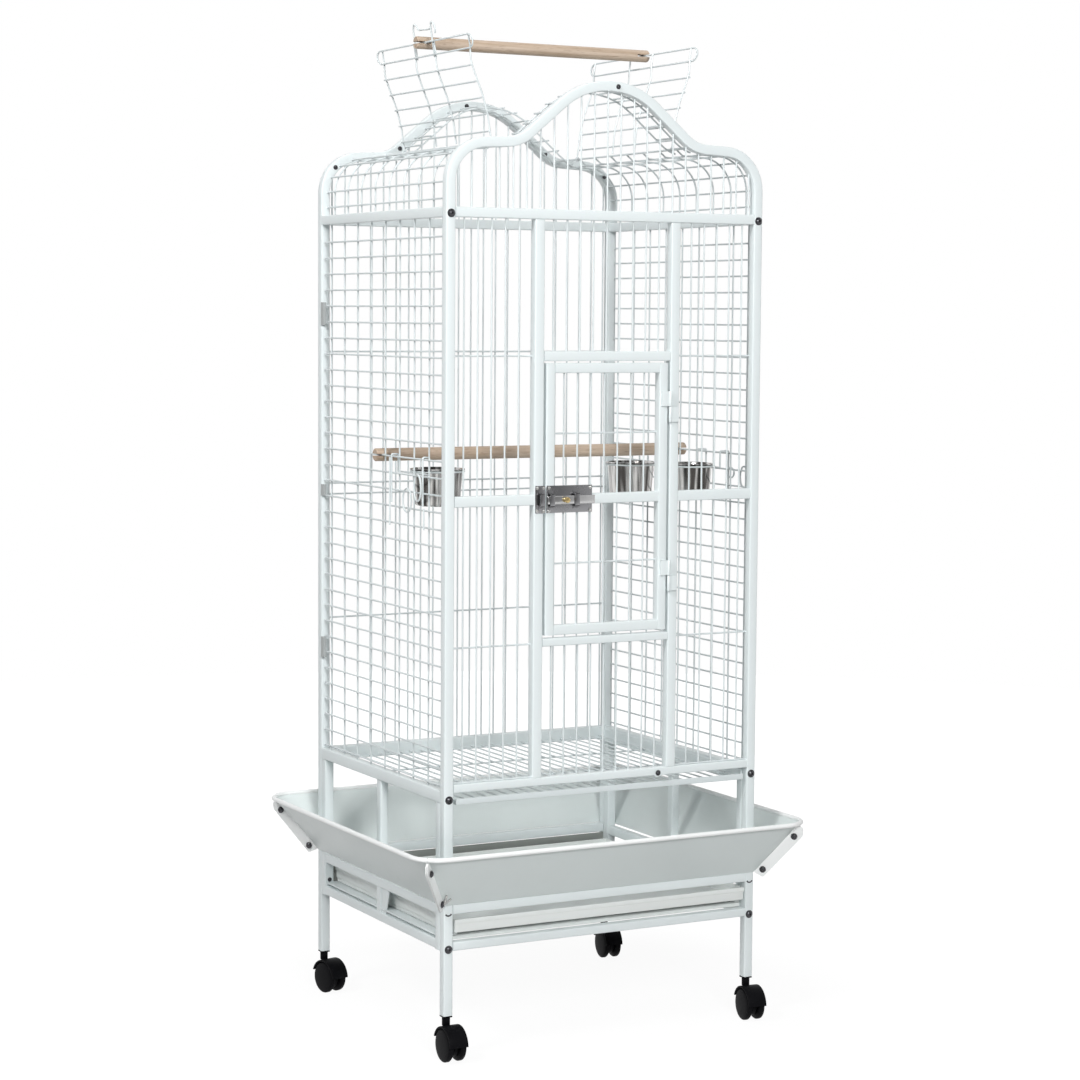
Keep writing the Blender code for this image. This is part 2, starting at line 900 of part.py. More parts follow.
def stand_side(name, hand):
    """Side frame of the stand between the legs, with the tray's runner."""
    xs = sorted((hand * inner_x, hand * width / 2))
    top = body_base - 0.006 - clear
    far = inner_y - clear
    mid = (xs[0] + 0.0005, xs[1] - 0.0005)

    def uprights(mesh):
        for y in (-far, far - tube):
            box(mesh, (xs[0], y, rail_low), (xs[1], y + tube, top))

    def rails(mesh):
        box(mesh, (mid[0], -far + 0.005, arch_foot - 0.017), (mid[1], far - 0.005, arch_foot - 0.002))
        box(mesh, (mid[0], -far + 0.005, rail_low + 0.0005), (mid[1], far - 0.005, rail_low + 0.022))

    def struts(mesh):
        box(mesh, (mid[0] + 0.0005, -half_tube, arch_foot - 0.009), (mid[1] - 0.0005, half_tube, top))
        box(mesh, (mid[0] + 0.0005, -half_tube, rail_low + 0.017), (mid[1] - 0.0005, half_tube, arch_foot - 0.014))

    def runner(mesh):
        x = sorted((hand * (inner_x - 0.012), hand * (inner_x + 0.004)))
        box(mesh, (x[0], tube + 0.0005 - far, tray_floor - 0.0033), (x[1], far - tube - 0.0005, tray_floor - 0.0008))

    return welded(name, powder_coat(name), uprights, rails, struts, runner)


def cross_rail(name, y, low, high):
    """Rail of the stand from leg to leg."""
    mesh = bmesh.new()
    far = inner_x - clear
    box(mesh, (-far, y - half_tube, low), (far, y + half_tube, high))
    return body(name, mesh, powder_coat(name))


def guard_point(face, along, out, z):
    """Place a guard's own coordinates on one of the four faces."""
    if face == "front":
        return Vector((along, -depth / 2 - out, z))
    if face == "rear":
        return Vector((-along, depth / 2 + out, z))
    if face == "right":
        return Vector((width / 2 + out, along, z))
    return Vector((-width / 2 - out, -along, z))


def seed_guard(name, face):
    """Sloping sheet with a rolled rim and a bolting flange at each end."""
    half = width / 2 if face in ("front", "rear") else depth / 2
    low = Vector((clear, guard_low))
    slope = (Vector((guard_reach - guard_bead, guard_high - guard_bead)) - low).normalized()
    normal = Vector((slope.y, -slope.x))
    length = (guard_high - guard_low - guard_bead) / slope.y
    top = low + slope * length
    seam = 0.00025
    section = [low, low + normal * guard_sheet, top + normal * guard_sheet]
    hub = top + normal * (guard_sheet / 2)
    for k in range(7):
        angle = math.atan2(normal.y, normal.x) + math.radians(-60 + k * 50) + math.radians(20)
        section.append(hub + Vector((math.cos(angle), math.sin(angle))) * guard_bead)
    section = section[:2] + section[3:]

    def sheet(mesh):
        ends = []
        for sign in (-1, 1):
            ends.append([mesh.verts.new(guard_point(face, sign * (half + p.x - seam), p.x, p.y)) for p in section])
        mesh.faces.new(ends[0])
        mesh.faces.new(ends[1][::-1])
        for i in range(len(section)):
            k = (i + 1) % len(section)
            mesh.faces.new((ends[0][i], ends[0][k], ends[1][k], ends[1][i]))

    def flanges(mesh):
        a = low + normal * (guard_sheet / 2) + slope * 0.002
        b = low + normal * (guard_sheet / 2) + slope * (length - 0.012)
        outline = [a, a + normal * 0.0125, b + normal * 0.0105, b]
        for sign in (-1, 1):
            rings = []
            for inset in (seam + 0.0003, seam + 0.0022):
                rings.append([mesh.verts.new(guard_point(face, sign * (half + p.x - inset), p.x, p.y)) for p in outline])
            mesh.faces.new(rings[0])
            mesh.faces.new(rings[1][::-1])
            for i in range(4):
                k = (i + 1) % 4
                mesh.faces.new((rings[0][i], rings[0][k], rings[1][k], rings[1][i]))

    return welded(name, powder_coat(name), sheet, flanges)


def caster_housing(name, x, y, turn):
    """Swivelling hood, web and stem of a twin-wheel caster."""
    hub = Vector((0, -caster_trail, wheel_radius))
    outer = hood_outer
    inner = hood_inner

    def hood(mesh):
        arc = [math.radians(a) for a in range(20, 177, 26)]
        outline = [(hub.x, hub.y + outer * math.cos(a), hub.z + outer * math.sin(a)) for a in arc]
        outline += [(hub.x, hub.y + inner * math.cos(a), hub.z + inner * math.sin(a)) for a in reversed(arc)]
        prism(mesh, outline, (1, 0, 0), 0.0010 - wheel_far, wheel_far - 0.0010)

    def web(mesh):
        outline = []
        for k in range(12):
            a = math.radians(30 * k)
            reach = outer - 0.0015 if 30 <= 30 * k <= 150 else wheel_radius - 0.0065
            outline.append((hub.x, hub.y + reach * math.cos(a), hub.z + reach * math.sin(a)))
        prism(mesh, outline, (1, 0, 0), 0.0010 - wheel_near, wheel_near - 0.0010)

    def stem(mesh):
        top = leg_foot - clear
        between = wheel_near - clear
        profile = [
            (0, hub.z + wheel_radius - 0.0060),
            (between, hub.z + wheel_radius - 0.0060),
            (between, hub.z + wheel_radius + 0.0005),
            (0.0063, hub.z + wheel_radius + 0.0005),
            (0.0063, top - 0.0020),
            (half_tube, top - 0.0020),
            (half_tube, top),
            (0, top),
        ]
        revolve(mesh, profile, (0, 0, 0), (0, 0, 1), 10)

    paint = black_plastic(name)
    made = welded(name, paint, hood, web, stem)
    cutter = bmesh.new()
    revolve(cutter, [(0, -0.02), (0.0038, -0.02), (0.0038, 0.02), (0, 0.02)], hub, (1, 0, 0), 8)
    combine(made, body(name + "_bore", cutter, paint), "DIFFERENCE")
    made.location = (x, y, 0)
    made.rotation_euler = (0, 0, turn)
    return made


def caster_wheels(name, carrier):
    """Two wheels on one axle."""
    sides = 24
    rim = wheel_radius / math.cos(math.pi / sides)
    near, far = wheel_near, wheel_far
    profile = [
        (0, -far),
        (rim - 0.0020, -far),
        (rim, -far + 0.0015),
        (rim, -near),
        (0.0030, -near),
        (0.0030, near),
        (rim, near),
        (rim, far - 0.0015),
        (rim - 0.0020, far),
        (0, far),
    ]
    mesh = bmesh.new()
    revolve(mesh, profile, (0, 0, 0), (1, 0, 0), sides)
    made = body(name, mesh, black_plastic(name))
    made.location = (0, -caster_trail, wheel_radius)
    made.parent = carrier
    return made


def cup(name, x, y, rim):
    """Stainless cup with a turned-out lip."""
    rim += body_base
    wall = 0.0010
    foot = rim - cup_deep
    profile = [
        (0, foot),
        (cup_radius - 0.0075, foot),
        (cup_radius - 0.0040, foot + 0.0035),
        (cup_radius, rim - cup_lip_under - 0.0003),
        (cup_lip, rim - cup_lip_under + 0.0002),
        (cup_lip, rim - 0.0005),
        (cup_radius - wall, rim),
        (cup_radius - 0.0040 - wall, foot + 0.0040),
        (cup_radius - 0.0075 - wall, foot + wall),
        (0, foot + wall),
    ]
    mesh = bmesh.new()
    revolve(mesh, profile, (x, y, 0), (0, 0, 1), 20)
    made = body(name, mesh, bright_steel(name))
    return pivot(made, (x, y, rim))


def cup_holder(name, hand, x, y, rim, first, second):
    """Wire ring under the cup's lip, hooked over a row of the side mesh."""
    ring_z = body_base + rim - cup_lip_under - clear - wire
    row = body_base + perch_row
    over = row + 2 * wire + 0.0006
    outside = hand * (post_x + step_out + 2 * wire + 0.0007)
    inside = hand * (abs(x) + cup_radius + 0.0017)

    def ring(mesh):
        r = cup_radius + 0.0008 + wire
        profile = [(r - wire, ring_z), (r, ring_z - wire), (r + wire, ring_z), (r, ring_z + wire)]
        revolve(mesh, profile, (x, y, 0), (0, 0, 1), 16, closed=True)

    def bar(mesh):
        low, high = sorted((first, second))
        rod_y(mesh, inside, low - 0.0005, high + 0.0005, ring_z - 0.0022)

    def hooks(mesh):
        for place in (first, second):
            path = [
                (outside, place, row - 0.070),
                (outside, place, over),
                (inside, place, over),
                (inside, place, ring_z - 0.0030),
            ]
            sweep(mesh, path, (0, 1, 0), round_wire())

    return welded(name, powder_coat(name), ring, bar, hooks)


def build():
    """Make every sub-part."""
    clear_scene()
    top = body_base + body_top_rail - half_tube - clear
    hoop("hoop_front", -post_y)
    hoop("hoop_rear", post_y)
    gable("gable_front", -post_y)
    gable("gable_rear", post_y)
    front_bottom_rail("front_bottom_rail")
    front_side_grille("front_grille_left", -1)
    front_side_grille("front_grille_right", 1)
    rail = body_base + door_high + 0.0025
    front_middle_grille("front_grille_top", rail + 0.0075, top, rail, rail + 0.0145)
    rail = body_base + door_low - 0.004
    low = body_base + front_rail[1] + clear
    front_middle_grille("front_grille_bottom", low, rail - 0.006, rail - 0.012, rail)
    rear_grille("rear_grille")
    for side, hand in (("left", -1), ("right", 1)):
        side_panel("side_panel_" + side, hand)
        roof_shoulder("roof_shoulder_" + side, hand)
        roof_flap("roof_flap_" + side, hand)
        stand_side("stand_side_" + side, hand)
    roof_strip("roof_strip_front", -1)
    roof_strip("roof_strip_rear", 1)
    lean = flap_line(1)[-1] - flap_line(1)[-2]
    perch_z = body_base + flap_pivot_rise + flap_rise - step_out * lean.x / lean.length
    ends = (-roof_cut - 0.0535, roof_cut + 0.0425)
    perch("perch_top", *ends, 0.0, perch_z, 0.0095, perch_slot, beech("perch_top"))
    ends = (-post_x - 0.012, post_x + 0.015)
    perch_y = min(mesh_columns(), key=abs) + wire + perch_radius + 0.0020
    perch("perch_inner", *ends, perch_y, body_base + perch_row, perch_radius, perch_slot, beech("perch_inner"))
    swing = front_door("door")
    for place, rise in hinge_rises.items():
        hinge("hinge_" + place, rise)
    edges = (-stile_inner - 0.0145, 0.0021 - stile_inner)
    latch_pressing("latch_keeper", edges, [-stile_inner - 0.0060], 0.0035)
    edges = (0.0010 - door_half, 0.0790 - door_half)
    plate = latch_pressing("latch_plate", edges, [0.0075 - door_half, 0.0500 - door_half], 0.0040)
    plate.location -= swing.location
    plate.parent = swing
    bolt = latch_bolt("latch_bolt", swing)
    latch_grip("latch_grip", swing, bolt)
    turn_button("turn_button")
    grate("grate")
    tray("tray")
    for place, y in (("front", -post_y), ("rear", post_y)):
        cross_rail("stand_rail_" + place + "_upper", y, arch_foot - 0.0145, arch_foot)
        cross_rail("stand_rail_" + place + "_lower", y, rail_low + 0.001, rail_low + 0.014)
    for face in ("front", "rear", "left", "right"):
        seed_guard("seed_guard_" + face, face)
    turns = {"front_left": 0, "front_right": -7, "rear_left": 12, "rear_right": -6}
    for corner, turn in turns.items():
        y = -post_y if corner.startswith("front") else post_y
        x = -post_x if corner.endswith("left") else post_x
        leg("leg_" + corner, x, y)
        housing = caster_housing("caster_" + corner, x, y, math.radians(turn))
        caster_wheels("wheels_" + corner, housing)
    clear_of_perch = perch_radius + cup_lip
    cups = {
        "left": (-1, 0.0045, -0.052 - clear_of_perch, 0.0163, -0.159, -0.049),
        "right_front": (1, -0.0005, -0.067 - clear_of_perch, 0.0163, -0.152, -0.084),
        "right_rear": (1, -0.0005, 0.009 + clear_of_perch, 0.0233, 0.101, 0.021),
    }
    for place, (hand, over, along, drop, first, second) in cups.items():
        x = hand * (inner_x - cup_lip + over)
        y = perch_y + along
        first, second = perch_y + first, perch_y + second
        rim = perch_row - drop
        cup("cup_" + place, x, y, rim)
        cup_holder("cup_holder_" + place, hand, x, y, rim, first, second)


build()
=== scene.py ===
import math

import bmesh
import bpy
from mathutils import Matrix, Vector


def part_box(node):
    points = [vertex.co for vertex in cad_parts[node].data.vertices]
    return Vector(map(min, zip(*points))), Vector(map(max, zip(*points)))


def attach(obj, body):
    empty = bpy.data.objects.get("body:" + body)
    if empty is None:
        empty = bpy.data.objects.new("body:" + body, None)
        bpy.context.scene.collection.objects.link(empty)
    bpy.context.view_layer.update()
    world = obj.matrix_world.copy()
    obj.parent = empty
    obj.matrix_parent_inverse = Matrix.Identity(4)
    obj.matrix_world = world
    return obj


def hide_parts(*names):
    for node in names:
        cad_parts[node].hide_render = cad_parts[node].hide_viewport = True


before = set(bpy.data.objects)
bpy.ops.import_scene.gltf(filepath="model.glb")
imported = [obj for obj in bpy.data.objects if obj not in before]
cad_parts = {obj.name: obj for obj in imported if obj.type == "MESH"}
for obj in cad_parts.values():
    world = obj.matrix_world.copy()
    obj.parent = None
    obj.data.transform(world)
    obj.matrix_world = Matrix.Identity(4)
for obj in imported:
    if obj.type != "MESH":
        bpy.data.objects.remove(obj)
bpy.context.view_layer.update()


# The studio. A white room round the cage, seen from the front and a little
# to its left. A soft lamp stands above the camera and to its right, one is
# high on the left, a weak one is overhead, and the room is dim toward us.
class Number:
    """A number that varies over a surface, so that sums on it add Math nodes."""

    def __init__(self, graph, socket):
        self.graph, self.socket = graph, socket

    def maths(self, how, *terms):
        return self.graph.number("ShaderNodeMath", {"operation": how}, dict(enumerate(terms)))

    def __add__(self, other):
        return self.maths("ADD", self, other)

    def __radd__(self, other):
        return self.maths("ADD", other, self)

    def __sub__(self, other):
        return self.maths("SUBTRACT", self, other)

    def __rsub__(self, other):
        return self.maths("SUBTRACT", other, self)

    def __mul__(self, other):
        return self.maths("MULTIPLY", self, other)

    def __rmul__(self, other):
        return self.maths("MULTIPLY", other, self)


class Graph:
    """The nodes of one material or of the world."""

    def __init__(self, tree):
        self.tree = tree

    def plug(self, socket, value):
        """Link a socket to what feeds it, or set its constant."""
        if isinstance(value, Number):
            value = value.socket
        if isinstance(value, bpy.types.NodeSocket):
            self.tree.links.new(value, socket)
        else:
            socket.default_value = value

    def add(self, kind, settings, sockets):
        """Any node, from its type, its settings and its sockets' values or links."""
        made = self.tree.nodes.new(kind)
        for name, value in settings.items():
            setattr(made, name, value)
        for name, value in sockets.items():
            self.plug(made.inputs[name], value)
        return made

    def number(self, kind, settings, sockets, out=0):
        return Number(self, self.add(kind, settings, sockets).outputs[out])

    def rays(self, *kinds):
        """One where a ray of any of these kinds is passing, nought elsewhere."""
        path = self.add("ShaderNodeLightPath", {}, {})
        first, *others = (Number(self, path.outputs[kind]) for kind in kinds)
        return sum(others, first)

    def place(self, scale=(1.0, 1.0, 1.0)):
        """Object coordinates, stretched or squeezed along the axes."""
        here = self.add("ShaderNodeTexCoord", {}, {}).outputs["Object"]
        return self.add("ShaderNodeMapping", {}, {"Vector": here, "Scale": scale}).outputs[0]

    def noise(self, place, scale, detail, roughness):
        sockets = {"Vector": place, "Scale": scale, "Detail": detail, "Roughness": roughness}
        return self.number("ShaderNodeTexNoise", {}, sockets)

    def between(self, value, low, high, start=0.0, end=1.0):
        """The value mapped from one range to another, and held inside it."""
        sockets = {"Value": value, "From Min": low, "From Max": high, "To Min": start, "To Max": end}
        return self.number("ShaderNodeMapRange", {"clamp": True}, sockets)

    def blend(self, share, first, second):
        """Two colours mixed by a share."""
        first, second = ((*c, 1.0) if isinstance(c, tuple) else c for c in (first, second))
        sockets = {0: share, 6: first, 7: second}
        return self.add("ShaderNodeMix", {"data_type": "RGBA"}, sockets).outputs[2]

    def bump(self, height, distance, strength, under=None):
        sockets = {"Height": height, "Distance": distance, "Strength": strength}
        if under:
            sockets["Normal"] = under
        return self.add("ShaderNodeBump", {}, sockets).outputs[0]


camera_place = Vector((-1.97289, -3.70472, 1.1085))
yaw, pitch, roll = (math.radians(angle) for angle in (28.1706, -4.8524, 0.3893))
ahead = Vector((math.sin(yaw) * math.cos(pitch), math.cos(yaw) * math.cos(pitch), math.sin(pitch)))
level = Vector((math.cos(yaw), -math.sin(yaw), 0.0))
above = level.cross(ahead)
across = level * math.cos(roll) + above * math.sin(roll)
upward = above * math.cos(roll) - level * math.sin(roll)
stance = Matrix((across, upward, -ahead)).transposed().to_4x4()
camera = bpy.data.objects.new("camera", bpy.data.cameras.new("camera"))
camera.data.sensor_width = 36.0
camera.data.lens = 87.9695
camera.data.clip_end = 60.0
camera.matrix_world = Matrix.Translation(camera_place) @ stance
bpy.context.scene.collection.objects.link(camera)
bpy.context.scene.camera = camera
bpy.context.scene.view_settings.view_transform = "Standard"


def lamp(name, place, aim, size, power):
    """Square soft lamp aimed at a point."""
    light = bpy.data.lights.new(name, "AREA")
    light.size, light.energy = size, power
    made = bpy.data.objects.new(name, light)
    turn = (Vector(aim) - Vector(place)).to_track_quat("-Z", "Y")
    made.matrix_world = Matrix.Translation(place) @ turn.to_matrix().to_4x4()
    bpy.context.scene.collection.objects.link(made)


lamp("key", (-1.0, -3.9, 2.3), (0.0, 0.0, 0.8), 1.0, 112.0)
lamp("side", (-2.9, -1.3, 3.0), (0.0, 0.0, 0.9), 0.8, 72.0)
lamp("top", (-0.3, 0.3, 3.6), (0.0, 0.0, 0.8), 1.2, 14.0)

white = (1, 1, 1, 1)
room_tint, room_strength = (0.98, 0.99, 1.0, 1), 0.12
camera_side, dim_from, dim_to, dimmest = (-0.50, -0.86, 0.10), 0.10, 0.75, 0.16
world = bpy.data.worlds.new("room")
bpy.context.scene.world = world
world.use_nodes = True
world.node_tree.nodes.clear()
room = Graph(world.node_tree)
seen = room.rays("Is Camera Ray", "Is Transmission Ray")
mirrored = room.rays("Is Glossy Ray")
direction = room.add("ShaderNodeTexCoord", {}, {}).outputs["Generated"]
facing_us = room.number(
    "ShaderNodeVectorMath", {"operation": "DOT_PRODUCT"}, {0: direction, 1: camera_side}, "Value"
)
dim = room.between(facing_us, dim_from, dim_to, 1.0, dimmest)
shown = room.add("ShaderNodeBackground", {}, {"Color": white, "Strength": seen + (1 - seen) * dim})
lit = room.add("ShaderNodeBackground", {}, {"Color": room_tint, "Strength": room_strength})
share = room.add("ShaderNodeMixShader", {}, {0: seen + mirrored, 1: lit.outputs[0], 2: shown.outputs[0]})
room.add("ShaderNodeOutputWorld", {}, {"Surface": share.outputs[0]})

floor_radius, floor_grey, floor_glow = 4.0, (0.50, 0.50, 0.50, 1), 1.12
clear_from, clear_to, near_glow = 0.45, 1.20, 0.84
floor_mesh = bmesh.new()
bmesh.ops.create_circle(floor_mesh, cap_ends=True, segments=96, radius=floor_radius)
floor_data = bpy.data.meshes.new("floor")
floor_mesh.to_mesh(floor_data)
floor_mesh.free()
floor = bpy.data.objects.new("floor", floor_data)
bpy.context.scene.collection.objects.link(floor)
floor_paint = bpy.data.materials.new("floor")
floor_paint.use_nodes = True
floor_paint.node_tree.nodes.clear()
ground = Graph(floor_paint.node_tree)
seen = ground.rays("Is Camera Ray", "Is Glossy Ray", "Is Transmission Ray")
paper = ground.add("ShaderNodeBsdfPrincipled", {}, {"Base Color": floor_grey, "Roughness": 0.8})
glow = ground.add("ShaderNodeEmission", {}, {"Color": white, "Strength": floor_glow})
from_middle = ground.number("ShaderNodeVectorMath", {"operation": "LENGTH"}, {0: ground.place()}, "Value")
edge = ground.between(from_middle, clear_from, clear_to)
glowing = seen * (near_glow + (1 - near_glow) * edge)
lit_paper = ground.add("ShaderNodeMixShader", {}, {0: glowing, 1: paper.outputs[0], 2: glow.outputs[0]})
ground.add("ShaderNodeOutputMaterial", {}, {"Surface": lit_paper.outputs[0]})
floor_data.materials.append(floor_paint)


# The casters. Twin wheels moulded in black nylon turn on an axle under a
# moulded hood, and a black collared stem plugs the hood into the leg's foot.
hood_nylon, tread_nylon, nylon_dust = (0.004, 0.004, 0.005), (0.005, 0.005, 0.006), (0.03, 0.03, 0.033)
hood_start, hood_sweep, hood_steps = math.radians(20), math.radians(156), 22


class Finish(Graph):
    """A material built round one Principled shader."""

    def __init__(self, name):
        self.material = bpy.data.materials.new(name)
        self.material.use_nodes = True
        super().__init__(self.material.node_tree)
        self.shader = self.tree.nodes["Principled BSDF"]

    def feed(self, **sockets):
        """Set or link the shader's own sockets, named with underscores."""
        for name, value in sockets.items():
            self.plug(self.shader.inputs[name.replace("_", " ")], value)
        return self.material


def moulded_nylon(name, tone, grain):
    """Black nylon with the fine spark grain of its mould and a little dust."""
    made = Finish(name)
    here = made.place()
    spark = made.noise(here, grain, 3.0, 0.7)
    dust = made.between(made.noise(here, 95.0, 5.0, 0.65), 0.55, 0.85)
    tint = made.blend(dust * 0.12, tone, nylon_dust)
    rough = 0.42 + 0.18 * dust + 0.10 * spark
    normal = made.bump(spark, 0.00008, 0.5)
    return made.feed(Base_Color=tint, Roughness=rough, Specular_IOR_Level=0.05, Normal=normal)


def merged(mesh, part):
    """Add a finished part to a mesh, its own doubles welded first."""
    bmesh.ops.remove_doubles(part, verts=part.verts, dist=1e-6)
    data = bpy.data.meshes.new("part")
    part.to_mesh(data)
    part.free()
    mesh.from_mesh(data)
    bpy.data.meshes.remove(data)


def lathe(mesh, profile, place, axis, steps):
    """Turn a profile of (radius, height) points about an axis at a place."""
    part = bmesh.new()
    place, axis = Vector(place), Vector(axis).normalized()
    spoke = axis.orthogonal().normalized()
    row = [part.verts.new(place + spoke * radius + axis * height) for radius, height in profile]
    line = [part.edges.new(pair) for pair in zip(row, row[1:])]
    bmesh.ops.spin(
        part, geom=row + line, cent=place, axis=axis, angle=2 * math.pi, steps=steps, use_merge=True
    )
    merged(mesh, part)


def rounded(part, lines, radius):
    """Round a part's edges as a press or a file does."""
    bmesh.ops.bevel(
        part, geom=lines, offset=radius, offset_type="OFFSET", segments=3, profile=0.5,
        affect="EDGES", material=-1,
    )


def rounded_corners(part, points, radius, segments=3):
    """Round the corners of a flat outline."""
    bmesh.ops.bevel(
        part, geom=points, offset=radius, offset_type="OFFSET", segments=segments, profile=0.5,
        affect="VERTICES", material=-1,
    )


def slab(mesh, low, high, corner, long_only=True):
    """Block between two corners with its long edges, or all of them, rounded."""
    low, high = Vector(low), Vector(high)
    size = high - low
    part = bmesh.new()
    bmesh.ops.create_cube(part, size=1.0, matrix=Matrix.LocRotScale((low + high) / 2, None, size))
    run = max(range(3), key=lambda i: size[i])
    lines = [
        e for e in part.edges
        if not long_only or abs((e.verts[0].co - e.verts[1].co)[run]) > size[run] / 2
    ]
    rounded(part, lines, corner)
    merged(mesh, part)


def swung(mesh, half_wide, inner, outer, corner, hub, axle):
    """Flat rounded section across the axle, swung over the wheels from the front."""
    part = bmesh.new()
    radial = Matrix.Rotation(hood_start, 3, axle) @ axle.cross(Vector((0, 0, 1))).normalized() * -1.0
    turn = Matrix((axle, radial, axle.cross(radial))).transposed().to_4x4()
    place = Matrix.Translation(hub + radial * ((outer + inner) / 2)) @ turn
    place = place @ Matrix.Diagonal((half_wide, (outer - inner) / 2, 1.0, 1.0))
    bmesh.ops.create_grid(part, x_segments=1, y_segments=1, size=1.0, matrix=place)
    rounded_corners(part, part.verts[:], corner)
    last = bmesh.ops.spin(
        part, geom=part.edges[:], cent=hub, axis=axle, angle=hood_sweep, steps=hood_steps
    )["geom_last"]
    bmesh.ops.contextual_create(part, geom=[e for e in last if isinstance(e, bmesh.types.BMEdge)])
    merged(mesh, part)


def finished(name, mesh, paint, sharp=40.0):
    """Turn a drawn mesh into an object, smooth between its sharp edges."""
    bmesh.ops.recalc_face_normals(mesh, faces=mesh.faces)
    for face in mesh.faces:
        face.smooth = True
    for line in mesh.edges:
        line.smooth = line.calc_face_angle(0.0) < math.radians(sharp)
    data = bpy.data.meshes.new(name)
    mesh.to_mesh(data)
    mesh.free()
    data.materials.append(paint)
    made = bpy.data.objects.new(name, data)
    bpy.context.scene.collection.objects.link(made)
    return made


tread_paint = moulded_nylon("wheel_nylon", tread_nylon, 700.0)
hood_paint = moulded_nylon("hood_nylon", hood_nylon, 1300.0)
tread_radius = 0.0247
wheel_profile = [
    (0.0, 0.0047), (0.0185, 0.0047), (0.0214, 0.0053), (0.0236, 0.0068), (tread_radius, 0.0084),
    (tread_radius, 0.0124), (0.0244, 0.0135), (0.0235, 0.0144), (0.0222, 0.0150),
    (0.0160, 0.0157), (0.0080, 0.0162), (0.0, 0.0164),
]
shell_half, shell_inner, shell_outer = 0.0154, 0.0264, 0.0293
web_half, web_inner, web_outer, web_disc = 0.0034, 0.0090, 0.0270, 0.0183
disc_profile = [
    (0.0, -web_half), (web_disc - 0.0008, -web_half), (web_disc, -web_half + 0.0006),
    (web_disc, web_half - 0.0006), (web_disc - 0.0008, web_half), (0.0, web_half),
]
stem_radius, collar_radius, stem_foot, collar_top = 0.0041, 0.0062, 0.034, 0.0637
stem_profile = [
    (0.0, stem_foot), (stem_radius, stem_foot), (stem_radius, 0.0500), (collar_radius - 0.0004, 0.0507),
    (collar_radius, 0.0515), (collar_radius, 0.0626), (collar_radius - 0.0006, collar_top), (0.0, collar_top),
]
plug_half, plug_low, plug_high = 0.0074, 0.0636, 0.0658
for corner in ("front_left", "front_right", "rear_left", "rear_right"):
    leg_low, leg_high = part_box("leg_" + corner)
    wheel_low, wheel_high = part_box("wheels_" + corner)
    hub = (wheel_low + wheel_high) / 2
    foot = (leg_low + leg_high) / 2
    trail = Vector((hub.x - foot.x, hub.y - foot.y, 0.0)).normalized()
    axle = (-trail).cross(Vector((0, 0, 1)))
    mesh = bmesh.new()
    for hand in (-1, 1):
        lathe(mesh, [(radius, hand * out) for radius, out in wheel_profile], hub, axle, 48)
    wheels = finished("wheels_" + corner + "_pair", mesh, tread_paint, 30.0)
    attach(wheels, "wheels_" + corner)
    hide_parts("wheels_" + corner)

    mesh = bmesh.new()
    swung(mesh, shell_half, shell_inner, shell_outer, 0.0012, hub, axle)
    swung(mesh, web_half, web_inner, web_outer, 0.0008, hub, axle)
    lathe(mesh, disc_profile, hub, axle, 32)
    lathe(mesh, stem_profile, (foot.x, foot.y, 0.0), (0, 0, 1), 28)
    plug_low_end = (foot.x - plug_half, foot.y - plug_half, plug_low)
    plug_high_end = (foot.x + plug_half, foot.y + plug_half, plug_high)
    slab(mesh, plug_low_end, plug_high_end, 0.0008, False)
    hood = finished("caster_" + corner + "_hood", mesh, hood_paint, 35.0)
    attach(hood, "caster_" + corner)
    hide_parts("caster_" + corner)


# The stand. Square steel tube, welded into two side frames, with four
# separate rails bolted between the legs. All of it is white powder coat.
width, depth, tube = 0.545, 0.471, 0.015
half_tube = tube / 2
post_x, post_y = width / 2 - half_tube, depth / 2 - half_tube
inner_x, inner_y = width / 2 - tube, depth / 2 - tube
gap = 0.0003
base = 0.392
white_coat, coat_shade = (0.795, 0.855, 0.862), (0.70, 0.75, 0.745)


def powder_coat(name, tone, shade, peel_size, peel_depth=0.00006):
    """Baked powder coat: orange peel, faint clouding and a few dusty patches."""
    made = Finish(name)
    here = made.place()
    cloud = made.between(made.noise(here, 7.0, 3.0, 0.6), 0.35, 0.70)
    peel = made.noise(here, peel_size, 2.0, 0.45)
    dust = made.between(made.noise(here, 160.0, 6.0, 0.7), 0.56, 0.80)
    worn = made.blend(cloud * 0.16 + dust * 0.10, tone, shade)
    rough = 0.30 + 0.10 * cloud + 0.16 * dust + 0.05 * peel
    normal = made.bump(peel, peel_depth, 0.55)
    return made.feed(Base_Color=worn, Roughness=rough, Normal=normal, Coat_Weight=0.18, Coat_Roughness=0.22)


def side_slab(mesh, hand, x, y, z, corner, long_only=True):
    """Rounded block on the left or right, its x measured out from the middle."""
    x_low, x_high = sorted((hand * x[0], hand * x[1]))
    slab(mesh, (x_low, y[0], z[0]), (x_high, y[1], z[1]), corner, long_only)


tube_coat = powder_coat("tube_coat", white_coat, coat_shade, 620.0)
for corner in ("front_left", "front_right", "rear_left", "rear_right"):
    low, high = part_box("leg_" + corner)
    mesh = bmesh.new()
    slab(mesh, low, high, 0.0017)
    leg = finished("leg_" + corner + "_tube", mesh, tube_coat)
    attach(leg, "cage")
    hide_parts("leg_" + corner)

for name in ("front_upper", "front_lower", "rear_upper", "rear_lower"):
    low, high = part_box("stand_rail_" + name)
    mesh = bmesh.new()
    slab(mesh, low, high, 0.0015)
    rail = finished("stand_rail_" + name + "_tube", mesh, tube_coat)
    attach(rail, "cage")
    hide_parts("stand_rail_" + name)
    "stand_rail_" + name

